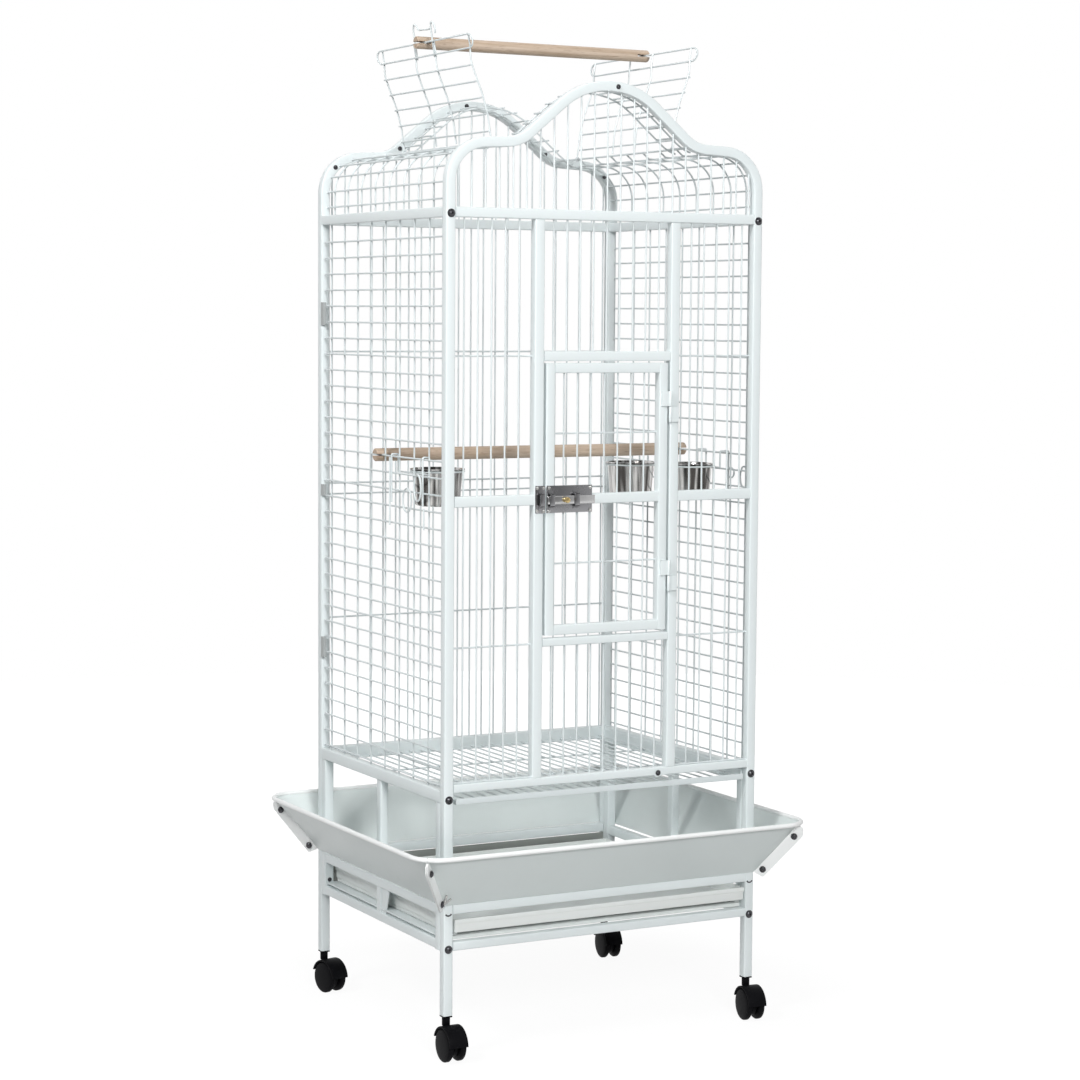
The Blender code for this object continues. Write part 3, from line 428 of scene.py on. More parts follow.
frame_end = inner_y - gap
frame_foot, frame_top = 0.163, base - 0.006 - gap
between_posts = (-frame_end + tube - 0.001, frame_end - tube + 0.001)
upper_rail, lower_rail = (0.2170, 0.2320), (0.1635, 0.1780)
upper_strut, lower_strut = (0.2310, frame_top), (0.1770, 0.2180)
runner_y = (-frame_end + tube + 0.0005, frame_end - tube - 0.0005)
runner_x, runner_z = (inner_x - 0.012, inner_x + 0.013), (0.1820, 0.1845)
gusset_face, gusset_thick = width / 2 - 0.0030, 0.0015
gusset = [(-half_tube, 0.2175), (-0.0345, 0.2175), (-0.0330, 0.2080), (-0.0230, 0.1775), (-half_tube, 0.1775)]
for side, hand in (("left", -1), ("right", 1)):
    mesh = bmesh.new()
    for y in (-frame_end, frame_end - tube):
        side_slab(mesh, hand, (inner_x, width / 2), (y, y + tube), (frame_foot, frame_top), 0.0016)
    for z in (upper_rail, lower_rail):
        side_slab(mesh, hand, (inner_x + 0.0004, width / 2 - 0.0004), between_posts, z, 0.0015)
    for z in (upper_strut, lower_strut):
        side_slab(mesh, hand, (inner_x + 0.0010, width / 2 - 0.0010), (-half_tube, half_tube), z, 0.0015)
    side_slab(mesh, hand, runner_x, runner_y, runner_z, 0.0008, False)
    gusset_x = min(hand * gusset_face, hand * (gusset_face - gusset_thick))
    part = bmesh.new()
    bmesh.ops.contextual_create(part, geom=[part.verts.new((gusset_x, y, z)) for y, z in gusset])
    bmesh.ops.recalc_face_normals(part, faces=part.faces)
    bmesh.ops.solidify(part, geom=part.faces[:], thickness=gusset_thick)
    merged(mesh, part)
    frame_side = finished("stand_side_" + side + "_frame", mesh, tube_coat)
    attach(frame_side, "cage")
    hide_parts("stand_side_" + side)


# The tray. One sheet of thin steel with its four walls folded up and their
# top edges hemmed over, coated inside and out, on two skids on the runners.
sheet = 0.0012


def sheet_coat(name, tone, shade):
    """Coat on broad sheet: the peel, and the slow waves of pressed steel."""
    made = Finish(name)
    here = made.place()
    wave = made.noise(here, 5.5, 2.0, 0.5)
    peel = made.noise(here, 560.0, 2.0, 0.45)
    dust = made.between(made.noise(here, 60.0, 6.0, 0.7), 0.50, 0.80)
    cloud = made.between(wave, 0.35, 0.68)
    worn = made.blend(cloud * 0.22 + dust * 0.14, tone, shade)
    rough = 0.34 + 0.12 * dust + 0.06 * cloud
    normal = made.bump(peel, 0.00006, 0.5, made.bump(wave, 0.0022, 0.7))
    return made.feed(Base_Color=worn, Roughness=rough, Normal=normal, Coat_Weight=0.12, Coat_Roughness=0.25)


tray_coat = sheet_coat("tray_coat", (0.84, 0.875, 0.86), (0.74, 0.76, 0.735))
tray_low, tray_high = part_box("tray")
skid_out, skid_wide, skid_tall = 0.2530, 0.0080, 0.0055
wall_inset, wall_fold, floor_fold = 0.0010, 0.003, 0.0022
hem_wide, hem_tall = 0.0030, 0.0070
mesh, part = bmesh.new(), bmesh.new()
for x in (-skid_out, skid_out - skid_wide):
    skid_low = (x, tray_low.y + 0.012, tray_low.z)
    skid_high = (x + skid_wide, tray_high.y - 0.004, tray_low.z + skid_tall + 0.0004)
    slab(mesh, skid_low, skid_high, 0.0006)
pan_low = tray_low + Vector((0, 0, skid_tall))
pan = tray_high - pan_low - Vector((wall_inset, wall_inset, 0.0))
bmesh.ops.create_cube(part, size=1.0, matrix=Matrix.LocRotScale((pan_low + tray_high) / 2, None, pan))
upright = [e for e in part.edges if abs((e.verts[0].co - e.verts[1].co).z) > pan.z / 2]
rounded(part, upright, wall_fold)
lid = [f for f in part.faces if f.calc_center_median().z > tray_high.z - 1e-5]
bmesh.ops.delete(part, geom=lid, context="FACES_ONLY")
rounded(part, [e for e in part.edges if all(v.co.z < pan_low.z + 1e-5 for v in e.verts)], floor_fold)
bmesh.ops.recalc_face_normals(part, faces=part.faces)
bmesh.ops.solidify(part, geom=part.faces[:], thickness=sheet)
merged(mesh, part)
for low, high in (
    ((tray_low.x, tray_low.y), (tray_high.x, tray_low.y + hem_wide)),
    ((tray_low.x, tray_high.y - hem_wide), (tray_high.x, tray_high.y)),
    ((tray_low.x, tray_low.y + hem_wide), (tray_low.x + hem_wide, tray_high.y - hem_wide)),
    ((tray_high.x - hem_wide, tray_low.y + hem_wide), (tray_high.x, tray_high.y - hem_wide)),
):
    slab(mesh, (*low, tray_high.z - hem_tall), (*high, tray_high.z), 0.0009)
tray = finished("tray_sheet", mesh, tray_coat)
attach(tray, "tray")
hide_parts("tray")


# The strips of sheet between the stand's rails. One closes the rear behind
# the tray, coated dark as painted shade. A folded sill with a lip lies on the
# front rail, below the tray, and the lip is coated dark as painted shade.
strip_end, strip_low = inner_x - 0.0010, 0.1775
# Painted shade: this strip is a dark sheet that stands for the shade behind the tray.
back_shade_coat = sheet_coat("back_strip_painted_shade", (0.30, 0.32, 0.30), (0.24, 0.25, 0.235))
mesh = bmesh.new()
slab(mesh, (-strip_end, inner_y - 0.0010, strip_low), (strip_end, inner_y + 0.0004, 0.2190), 0.0003)
back_shade_strip = finished("stand_back_shade_strip", mesh, back_shade_coat)
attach(back_shade_strip, "cage")

sill_step, sill_top = 0.1835, 0.1848
mesh = bmesh.new()
for z_low, z_high, y in ((strip_low, sill_step, -inner_y + 0.0020), (sill_step, sill_top, -inner_y + 0.0030)):
    slab(mesh, (-strip_end, y - 0.0012, z_low), (strip_end, y + 0.0060, z_high), 0.0004)
front_sill = finished("stand_front_sill", mesh, tray_coat)
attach(front_sill, "cage")

lip_end, lip_low, lip_high = 0.2430, 0.1780, 0.1902
# Painted shade: the lip's dark coat stands for the shadow under the tray's front.
lip_shade_coat = sheet_coat("front_lip_painted_shade", (0.30, 0.315, 0.31), (0.25, 0.26, 0.255))
mesh = bmesh.new()
slab(mesh, (-lip_end, -inner_y + 0.0068, lip_low), (lip_end, -inner_y + 0.0080, lip_high), 0.0003)
front_shade_lip = finished("stand_front_shade_lip", mesh, lip_shade_coat)
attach(front_shade_lip, "cage")


# The seed guards. Four sloping sheets of thin steel with a rolled rim. The
# rims curve round the corners, and flanges on the ends are bolted together.
guard_low, guard_high, guard_reach, bead = 0.234, 0.321, 0.069, 0.0037
rim_corner, corner_steps, seam = 0.044, 6, 0.0006
reach, rim_z = guard_reach - bead, guard_high - bead
half_of = {"front": width / 2, "rear": width / 2, "left": depth / 2, "right": depth / 2}
guard_outside = sheet_coat("guard_coat", (0.745, 0.805, 0.797), (0.67, 0.72, 0.705))
# Painted light: the rolled rim carries the guards' coat made whiter, standing for the light on its rounded
# top.
lit_rim_coat = powder_coat("guard_rim_lit_coat", (0.95, 0.965, 0.96), (0.86, 0.88, 0.87), 560.0)


def draw_out(mesh, face, heading, points):
    """Draw a section's face out through a row of points, turned as it goes."""
    points = [Vector(p) for p in points]
    for i in range(1, len(points)):
        step = points[i] - points[i - 1]
        made = bmesh.ops.extrude_face_region(mesh, geom=[face])["geom"]
        if i > 1:
            bmesh.ops.delete(mesh, geom=[face], context="FACES_ONLY")
        ring = [v for v in made if isinstance(v, bmesh.types.BMVert)]
        face = next(f for f in made if isinstance(f, bmesh.types.BMFace))
        bmesh.ops.translate(mesh, verts=ring, vec=step)
        new = step.normalized()
        if i < len(points) - 1:
            new = (new + (points[i + 1] - points[i]).normalized()).normalized()
        turn = heading.rotation_difference(new).to_matrix()
        bmesh.ops.rotate(mesh, cent=points[i], matrix=turn, verts=ring)
        heading = new


def led_wire(mesh, points, radius, sides=8, closed=False):
    """Round wire led through a row of points."""
    part = bmesh.new()
    points = [Vector(p) for p in points]
    if closed:
        join = (points[-1] + points[0]) / 2
        points = [join] + points + [join]
    heading = (points[1] - points[0]).normalized()
    place = Matrix.Translation(points[0]) @ heading.to_track_quat("Z", "Y").to_matrix().to_4x4()
    bmesh.ops.create_circle(part, cap_ends=True, segments=sides, radius=radius, matrix=place)
    draw_out(part, part.faces[:][0], heading, points)
    if closed:
        caps = [f for f in part.faces if len(f.verts) == sides]
        bmesh.ops.delete(part, geom=caps, context="FACES_ONLY")
        bmesh.ops.remove_doubles(part, verts=part.verts, dist=radius * 0.2)
    merged(mesh, part)


def guard_place(face, along, out, z):
    """A guard's own coordinates set on one of the four faces."""
    if face == "front":
        return Vector((along, -depth / 2 - out, z))
    if face == "rear":
        return Vector((-along, depth / 2 + out, z))
    if face == "right":
        return Vector((width / 2 + out, along, z))
    return Vector((-width / 2 - out, -along, z))


def rim_stations(half):
    """Places along a guard's rim, its ends bent half way round the corners."""
    hub_along, hub_out = half + reach - rim_corner, reach - rim_corner
    turns = [math.radians(45 * k / corner_steps) for k in range(corner_steps + 1)]
    bend = [(hub_along + rim_corner * math.sin(a), hub_out + rim_corner * math.cos(a)) for a in turns]
    bend[-1] = (bend[-1][0] - seam, bend[-1][1])
    return [(-along, out) for along, out in reversed(bend)] + [(0.0, reach)] + bend


seam_run = Vector(((reach - rim_corner * (1 - math.sqrt(0.5))) * math.sqrt(2), rim_z - guard_low))
seam_length = seam_run.length


def flange_place(face, hand, up, out, aside):
    """A place beside a guard's corner seam, up it and out from it."""
    slope = seam_run.normalized()
    spot = slope * up + Vector((slope.y, -slope.x)) * out
    away = spot.x / math.sqrt(2)
    return guard_place(face, hand * (half_of[face] + away - aside), away, guard_low + spot.y)


flange_outline = [
    (0.001, 0.0008), (0.006, 0.0172), (seam_length - 0.012, 0.0180), (seam_length - 0.003, 0.0100),
    (seam_length - 0.004, 0.0008),
]
for face in ("front", "rear", "left", "right"):
    half = half_of[face]
    stations = rim_stations(half)
    end = stations[-1][0]
    part = bmesh.new()
    chains = []
    for share in (0.0, 1.0):
        row = []
        for along, out in stations:
            foot = guard_place(face, along * (half - seam) / end, 0.0005, guard_low)
            row.append(part.verts.new(foot.lerp(guard_place(face, along, out, rim_z), share)))
        chains.append([part.edges.new(pair) for pair in zip(row, row[1:])])
    bmesh.ops.bridge_loops(part, edges=chains[0] + chains[1])
    between = [e for e in part.edges if abs(e.verts[0].co.z - e.verts[1].co.z) > 0.01]
    bmesh.ops.subdivide_edges(part, edges=between, cuts=6, use_grid_fill=True)
    bmesh.ops.recalc_face_normals(part, faces=part.faces)
    facing = guard_place(face, 0, 1, 0) - guard_place(face, 0, 0, 0)
    if part.faces[:][0].normal.dot(facing) < 0:
        bmesh.ops.reverse_faces(part, faces=part.faces)
    bmesh.ops.solidify(part, geom=part.faces[:], thickness=sheet)
    mesh = bmesh.new()
    merged(mesh, part)
    guard = finished("seed_guard_" + face + "_sheet", mesh, guard_outside, 30.0)
    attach(guard, "cage")
    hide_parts("seed_guard_" + face)

    mesh = bmesh.new()
    for hand in (-1, 1):
        part = bmesh.new()
        outline = [flange_place(face, hand, up, out, 0.0014) for up, out in flange_outline]
        plate = bmesh.ops.contextual_create(part, geom=[part.verts.new(p) for p in outline])["faces"][0]
        rounded_corners(part, plate.verts[:], 0.0030, 4)
        bmesh.ops.solidify(part, geom=part.faces[:], thickness=sheet)
        merged(mesh, part)
    led_wire(mesh, [guard_place(face, along, out, rim_z) for along, out in stations], bead, 14)
    rolled = finished("seed_guard_" + face + "_rim", mesh, lit_rim_coat)
    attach(rolled, "cage")


# The two end hoops. Each is one length of square tube, bent cold into a pair
# of posts and the wavy arch over them, and pushed onto the legs below.
arch_foot = 0.234
left_corners = [
    (-post_x, arch_foot + gap, 0.0), (-post_x, base + 0.967, 0.080), (-0.150, base + 0.9725, 0.060),
    (-0.046, base + 1.060, 0.120),
]
arch_corners = left_corners + [(-x, z, bend) for x, z, bend in reversed(left_corners)]


def eased(points, radii, step=7.5):
    """Row of points with its corners bent to their radii."""
    points = [Vector(p) for p in points]
    row = [points[0]]
    for before, here, after, radius in zip(points, points[1:], points[2:], radii[1:]):
        back, on = (before - here).normalized(), (after - here).normalized()
        turn = math.pi - back.angle(on)
        if turn < 0.01 or radius == 0:
            row.append(here)
            continue
        room_for = 0.49 * min((before - here).length, (after - here).length)
        bend_reach = min(radius * math.tan(turn / 2), room_for)
        hub = here + (back + on).normalized() * (bend_reach / math.sin(turn / 2))
        first = here + back * bend_reach - hub
        axis = first.cross(here + on * bend_reach - hub)
        steps = max(2, round(math.degrees(turn) / step))
        row += [hub + Matrix.Rotation(turn * k / steps, 3, axis) @ first for k in range(steps + 1)]
    return row + [points[-1]]


def beside(line, amount):
    """A line in the plane of the arch, moved sideways to its right."""
    moved = []
    for i, point in enumerate(line):
        run = (line[min(i + 1, len(line) - 1)] - line[max(i - 1, 0)]).normalized()
        moved.append(point + Vector((run.z, 0.0, -run.x)) * amount)
    return moved


def arch_at(y, drop=0.0):
    """The arch's middle line at a depth, or a line a little below it."""
    row = eased([(x, y, z) for x, z, _ in arch_corners], [bend for _, _, bend in arch_corners])
    return beside(row, drop)


def bent_tube(mesh, points, corner):
    """Square tube that starts upward and is bent along a row of points."""
    part = bmesh.new()
    foot = Matrix.Translation(points[0])
    bmesh.ops.create_grid(part, x_segments=1, y_segments=1, size=half_tube, matrix=foot)
    rounded_corners(part, part.verts[:], corner)
    draw_out(part, part.faces[:][0], Vector((0, 0, 1)), points)
    merged(mesh, part)


for end_name, y in (("front", -post_y), ("rear", post_y)):
    mesh = bmesh.new()
    bent_tube(mesh, arch_at(y), 0.0017)
    hoop = finished("hoop_" + end_name + "_tube", mesh, tube_coat)
    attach(hoop, "cage")
    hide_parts("hoop_" + end_name)


# The side panels. A tube above and below, and 2.8 mm wire welded into a mesh:
# the uprights stand in the middle and the rows are laid on their outside.
wire = 0.0014
step_out = 2 * wire - 0.0002
top_rail = base + 0.867
mesh_row, mesh_column = 0.0254, 0.0516
rows = [base + 0.8315 - mesh_row * i for i in range(33)]
columns = [0.197 - mesh_column * i for i in range(8)] + [-0.209]
row_end = 0.2145
# Painted shade: the wires carry the tubes' white coat made darker, standing for the shade on their far sides.
shaded_wire_coat = powder_coat("shaded_wire_coat", (0.70, 0.755, 0.765), (0.62, 0.67, 0.67), 900.0, 0.00004)


def straight_wire(mesh, start, end, radius=wire):
    """Straight wire between two points, cut square at its ends."""
    start, end = Vector(start), Vector(end)
    run = end - start
    place = Matrix.Translation((start + end) / 2) @ run.to_track_quat("Z", "Y").to_matrix().to_4x4()
    bmesh.ops.create_cone(
        mesh, cap_ends=True, cap_tris=False, segments=8, radius1=radius, radius2=radius,
        depth=run.length, matrix=place,
    )


panel_y = (-inner_y + gap, inner_y - gap)
web_y = (panel_y[0] + 0.0002, panel_y[1] - 0.0002)
for side, hand in (("left", -1), ("right", 1)):
    mesh = bmesh.new()
    side_slab(mesh, hand, (inner_x, width / 2), panel_y, (base - 0.006, base + 0.012), 0.0016)
    side_slab(mesh, hand, (inner_x, width / 2), panel_y, (top_rail - half_tube, top_rail + half_tube), 0.0016)
    side_slab(mesh, hand, (inner_x - 0.012, inner_x), panel_y, (base - 0.0103, base - 0.0085), 0.0005)
    side_slab(mesh, hand, (inner_x - 0.0017, inner_x - 0.0001), web_y, (base - 0.0101, base + 0.008), 0.0005)
    rails = finished("side_panel_" + side + "_rails", mesh, tube_coat)
    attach(rails, "cage")
    mesh = bmesh.new()
    for y in columns:
        straight_wire(mesh, (hand * post_x, y, base + 0.006), (hand * post_x, y, top_rail))
    x = hand * (post_x + step_out)
    for z in rows:
        straight_wire(mesh, (x, -row_end, z), (x, row_end, z))
    panel = finished("side_panel_" + side + "_mesh", mesh, shaded_wire_coat)
    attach(panel, "cage")
    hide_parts("side_panel_" + side)


# The rear grille. Upright bars between a tube below and the rear gable, tied
# by cross wires welded on their inside.
bar_pitch = 0.0228
between_hoops = inner_x - gap
under_gable = top_rail - half_tube - gap
end_bars = [i * bar_pitch for i in range(-11, 12)]
low_tie, high_tie = base + 0.225, base + 0.657
mesh = bmesh.new()
slab(mesh, (-between_hoops, inner_y, base - 0.008), (between_hoops, depth / 2, base + 0.012), 0.0016)
rear_rail = finished("rear_grille_rail", mesh, tube_coat)
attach(rear_rail, "cage")
mesh = bmesh.new()
for x in end_bars:
    straight_wire(mesh, (x, post_y, base), (x, post_y, under_gable))
for z in (low_tie, base + 0.4265, base + 0.444, high_tie):
    straight_wire(mesh, (-between_hoops, post_y - step_out, z), (between_hoops, post_y - step_out, z))
rear_grille = finished("rear_grille_bars", mesh, shaded_wire_coat)
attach(rear_grille, "cage")
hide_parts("rear_grille")


# The front. A bottom rail, two stiles either side of the door, and bars
# beside, above and below it, with a short rail half way up each side.
stile_inner, stile_wide = 0.1095, 0.016
stile_outer = stile_inner + stile_wide
rail_low, rail_top = base + 0.010, base + 0.0225
middle_rail = (base + 0.4345, base + 0.4505)
first_bar = 0.1488
mesh = bmesh.new()
slab(mesh, (-between_hoops, -depth / 2, rail_low), (between_hoops, -inner_y, rail_top), 0.0016)
bottom_rail = finished("front_bottom_rail_tube", mesh, tube_coat)
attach(bottom_rail, "cage")
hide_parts("front_bottom_rail")

for side, hand in (("left", -1), ("right", 1)):
    mesh = bmesh.new()
    front_y, stile_z = (-depth / 2, -inner_y), (rail_top + gap, under_gable)
    side_slab(mesh, hand, (stile_inner, stile_outer), front_y, stile_z, 0.0017)
    rail_x, rail_y = (stile_outer - 0.001, between_hoops), (-depth / 2 + 0.0006, -inner_y - 0.0006)
    side_slab(mesh, hand, rail_x, rail_y, middle_rail, 0.0016)
    stile = finished("front_grille_" + side + "_tubes", mesh, tube_coat)
    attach(stile, "cage")
    mesh = bmesh.new()
    for i in range(5):
        x = hand * (first_bar + i * bar_pitch)
        straight_wire(mesh, (x, -post_y, rail_top), (x, -post_y, under_gable))
    start, end = sorted(hand * x for x in rail_x)
    for z in (high_tie, low_tie):
        straight_wire(mesh, (start, -post_y + step_out, z), (end, -post_y + step_out, z))
    y, z = -post_y - step_out, rail_top + wire
    straight_wire(mesh, (start, y, z), (end, y, z))
    bars = finished("front_grille_" + side + "_bars", mesh, shaded_wire_coat)
    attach(bars, "cage")
    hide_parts("front_grille_" + side)

for name, bar_low, bar_high, z_low, z_high in (
    ("top", base + 0.657, under_gable, base + 0.6495, base + 0.664),
    ("bottom", rail_top, base + 0.227, base + 0.221, base + 0.233),
):
    mesh = bmesh.new()
    slab(mesh, (-stile_inner + gap, -depth / 2, z_low), (stile_inner - gap, -inner_y, z_high), 0.0015)
    short = finished("front_grille_" + name + "_rail", mesh, tube_coat)
    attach(short, "cage")
    "front_grille_" + name
    mesh = bmesh.new()
    for i in range(-4, 5):
        straight_wire(mesh, (i * bar_pitch, -post_y, bar_low), (i * bar_pitch, -post_y, bar_high))
    bars = finished("front_grille_" + name + "_bars", mesh, shaded_wire_coat)
    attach(bars, "cage")
    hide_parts("front_grille_" + name)
    "front_grille_" + name


# The grate. Long wires over four ties, on a front strip that the hand pulls.
# It rests on the ledges of the side panels and slides out below the rail.
grate_level, grate_half = base - 0.0042, 0.252
strip_front, strip_back = -0.2326, -0.2310
grate_wires, grate_pitch = 27, 0.0190
mesh = bmesh.new()
slab(mesh, (-grate_half, strip_front, base - 0.0086), (grate_half, strip_back, base + 0.0005), 0.0005)
for i in range(grate_wires):
    x = (i - grate_wires // 2) * grate_pitch
    straight_wire(mesh, (x, (strip_front + strip_back) / 2, grate_level), (x, 0.219, grate_level))
for y in (-0.2140, -0.0710, 0.0720, 0.2140):
    straight_wire(mesh, (-grate_half, y, grate_level - step_out), (grate_half, y, grate_level - step_out))
grate = finished("grate_wires", mesh, shaded_wire_coat)
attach(grate, "grate")
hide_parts("grate")


# The turn button. A teardrop of pressed steel on a shouldered screw, which
# keeps the grate in when it hangs down. It is turned aside here.
button_hub = Vector((0.0935, -depth / 2 - gap, base + 0.0145))
button_radius, arm_start, arm_long, arm_slim = 0.0068, 0.0045, 0.0165, 0.92
mesh, part = bmesh.new(), bmesh.new()
facing = Matrix.Translation(button_hub) @ Matrix.Rotation(math.pi / 2, 4, "X")
bmesh.ops.create_circle(part, cap_ends=True, segments=28, radius=button_radius, matrix=facing)
for v in part.verts:
    share = (v.co.x - button_hub.x - arm_start) / (button_radius - arm_start)
    if share > 0:
        v.co.x += arm_long * min(1.0, share) ** 0.7
        v.co.z = button_hub.z + (v.co.z - button_hub.z) * arm_slim
bmesh.ops.solidify(part, geom=part.faces[:], thickness=0.0015)
merged(mesh, part)
button = finished("turn_button_plate", mesh, tube_coat)
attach(button, "turn_button")
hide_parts("turn_button")


# The door. A frame of square tube with a middle rail, seven bars and two
# cross wires, hung on two welded hinges at its right.
door_half, door_low, door_high = 0.106, base + 0.237, base + 0.647
frame_size, inset = 0.0149, 0.008
half_frame = frame_size / 2
x_out, x_in = door_half - inset + half_frame, door_half - inset - half_frame
z_low, z_high = door_low + inset - half_frame, door_high - inset + half_frame
y_front, y_back = -post_y - half_frame, -post_y + half_frame
mesh = bmesh.new()
for x in (-x_out, x_in):
    slab(mesh, (x, y_front, z_low), (x + frame_size, y_back, z_high), 0.0016)
for z in (z_low, z_high - frame_size):
    slab(mesh, (-x_in, y_front, z), (x_in, y_back, z + frame_size), 0.0016)
slab(mesh, (-x_in, -post_y - 0.0070, base + 0.4345), (x_in, -post_y + 0.0070, base + 0.4500), 0.0016)
door_frame = finished("door_frame", mesh, tube_coat)
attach(door_frame, "door")
door_bar_pitch, bar_shift, door_ties = 0.0232, -0.0022, (base + 0.345, base + 0.541)
mesh = bmesh.new()
for i in range(-3, 4):
    x = bar_shift + i * door_bar_pitch
    straight_wire(mesh, (x, -post_y, z_low + 0.010), (x, -post_y, z_high - 0.010))
for z in door_ties:
    straight_wire(mesh, (-x_in, -post_y + step_out, z), (x_in, -post_y + step_out, z))
door_bars = finished("door_bars", mesh, shaded_wire_coat)
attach(door_bars, "door")
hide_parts("door")


# The hinges. A pressed leaf with half a knuckle is welded to the stile and
# another to the door, one above the other on a shared pin, coated like both.
hinge_x, hinge_y, knuckle = 0.108, -0.2388, 0.0026
leaf_near, leaf_far, leaf_half = 0.0005, 0.0148, 0.0008
for name, z in (("upper", base + 0.580), ("lower", base + 0.3205)):
    for part_name, carrier, node, hand, low_end, high_end in (
        ("leaf", "cage", "hinge_" + name, 1, -0.0237, -0.0006),
        ("leaf_on_door", "door", "door", -1, 0.0006, 0.0233),
    ):
        mesh = bmesh.new()
        x_low, x_high = sorted((hinge_x + hand * leaf_near, hinge_x + hand * leaf_far))
        y_low, y_high = hinge_y - leaf_half, hinge_y + leaf_half
        slab(mesh, (x_low, y_low, z + low_end), (x_high, y_high, z + high_end), 0.0005)
        x_low, x_high = sorted((hinge_x + hand * 0.0040, hinge_x + hand * 0.0145))
        slab(mesh, (x_low, hinge_y, z + low_end), (x_high, -depth / 2 - gap, z + high_end), 0.0005)
        knuckle_profile = [
            (0, low_end - 0.0002), (knuckle - 0.0004, low_end - 0.0002), (knuckle, low_end + 0.0003),
            (knuckle, high_end - 0.0003), (knuckle - 0.0004, high_end + 0.0002), (0, high_end + 0.0002),
        ]
        lathe(mesh, knuckle_profile, (hinge_x, hinge_y, z), (0, 0, 1), 20)
        leaf = finished("hinge_" + name + "_" + part_name, mesh, tube_coat)
        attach(leaf, carrier)
        if carrier == "cage":
            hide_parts(node)


# The latch. A plated slide bolt: a plate with two straps on the door, the
# bolt in them with a brass rivet as its grip, and a keeper on the stile.
latch_face, latch_level = -depth / 2 - gap, base + 0.442
plate_thick, plate_low, plate_high = 0.0012, base + 0.4225, base + 0.4635
strap_tall, strap_out, strap_thick = 0.0200, 0.0090, 0.0014


def polished(name, tone, rough, brush, brush_scale):
    """Bright metal with fine lines from its polishing, and finger haze."""
    made = Finish(name)
    lines = made.noise(made.place(brush), brush_scale, 3.0, 0.6)
    haze = made.between(made.noise(made.place(), 45.0, 4.0, 0.6), 0.45, 0.75)
    tint = made.blend(haze * 0.30, tone, tuple(c * 0.82 for c in tone))
    rough = rough + 0.10 * haze + 0.06 * lines
    normal = made.bump(lines, 0.00002, 0.5)
    return made.feed(Base_Color=tint, Metallic=1.0, Roughness=rough, Normal=normal)


def strap(mesh, x, half_wide):
    """Pressed strap that stands off a plate on two feet."""
    x_low, x_high = x - half_wide, x + half_wide
    top, front, back = strap_tall / 2, latch_face - strap_out, latch_face - strap_out + strap_thick
    for hand in (-1, 1):
        low, high = sorted((latch_level + hand * top, latch_level + hand * (top - strap_thick)))
        slab(mesh, (x_low, front, low), (x_high, latch_face - 0.0008, high), 0.0004)
        low, high = sorted((latch_level + hand * (top - strap_thick), latch_level + hand * (top + 0.004)))
        slab(mesh, (x_low, latch_face - 0.0022, low), (x_high, latch_face - 0.0010, high), 0.0004)
    slab(mesh, (x_low, front, latch_level - top), (x_high, back, latch_level + top), 0.0006, False)


chrome = polished("latch_chrome", (0.30, 0.30, 0.31), 0.20, (1.0, 1.0, 14.0), 160.0)
for name, carrier, x_low, x_high, straps, half_wide in (
    ("keeper", "cage", -0.1240, -0.1074, (-0.1155,), 0.0035),
    ("plate", "door", -0.1050, -0.0270, (-0.0985, -0.0560), 0.0040),
):
    mesh = bmesh.new()
    slab(mesh, (x_low, latch_face - plate_thick, plate_low), (x_high, latch_face, plate_high), 0.0005, False)
    for x in straps:
        strap(mesh, x, half_wide)
    plate = finished("latch_" + name + "_pressing", mesh, chrome)
    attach(plate, carrier)
    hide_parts("latch_" + name)
    "latch_" + name

bolt_x, bolt_out, bolt_half = (-0.1059, -0.0250), (0.0070, 0.0031), 0.0062
bright_chrome = polished("bolt_chrome", (0.60, 0.60, 0.60), 0.14, (1.0, 1.0, 14.0), 160.0)
mesh = bmesh.new()
bolt_low = (bolt_x[0], latch_face - bolt_out[0], latch_level - bolt_half)
bolt_high = (bolt_x[1], latch_face - bolt_out[1], latch_level + bolt_half)
slab(mesh, bolt_low, bolt_high, 0.0009, False)
for z in (latch_level - 0.0058, latch_level + 0.0058):
    slab(mesh, (-0.1050, latch_face - 0.0074, z - 0.0005), (-0.0255, latch_face - 0.0066, z + 0.0005), 0.0003)
bolt_bar = finished("latch_bolt_bar", mesh, bright_chrome)
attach(bolt_bar, "latch_bolt")
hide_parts("latch_bolt")

brass = polished("rivet_brass", (0.62, 0.47, 0.22), 0.24, (1.0, 1.0, 1.0), 400.0)
rivet_profile = [
    (0, 0.0), (0.0036, 0.0), (0.0036, 0.0018), (0.0044, 0.0024), (0.0044, 0.0052), (0.0037, 0.0062),
    (0.0020, 0.0066), (0, 0.0067),
]
mesh = bmesh.new()
lathe(mesh, rivet_profile, (-0.0750, latch_face - 0.0073, latch_level), (0, -1, 0), 28)
grip = finished("latch_grip_rivet", mesh, brass)
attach(grip, "latch_bolt")
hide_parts("latch_grip")


# The gables. A top rail from post to post at each end, with a bar standing
# on it at every pitch, cut to meet the arch.
def height_on(line, x):
    """Height of a left-to-right line above a place on it."""
    for a, b in zip(line, line[1:]):
        if a.x <= x <= b.x and b.x > a.x:
            return a.z + (b.z - a.z) * (x - a.x) / (b.x - a.x)
    return line[0].z


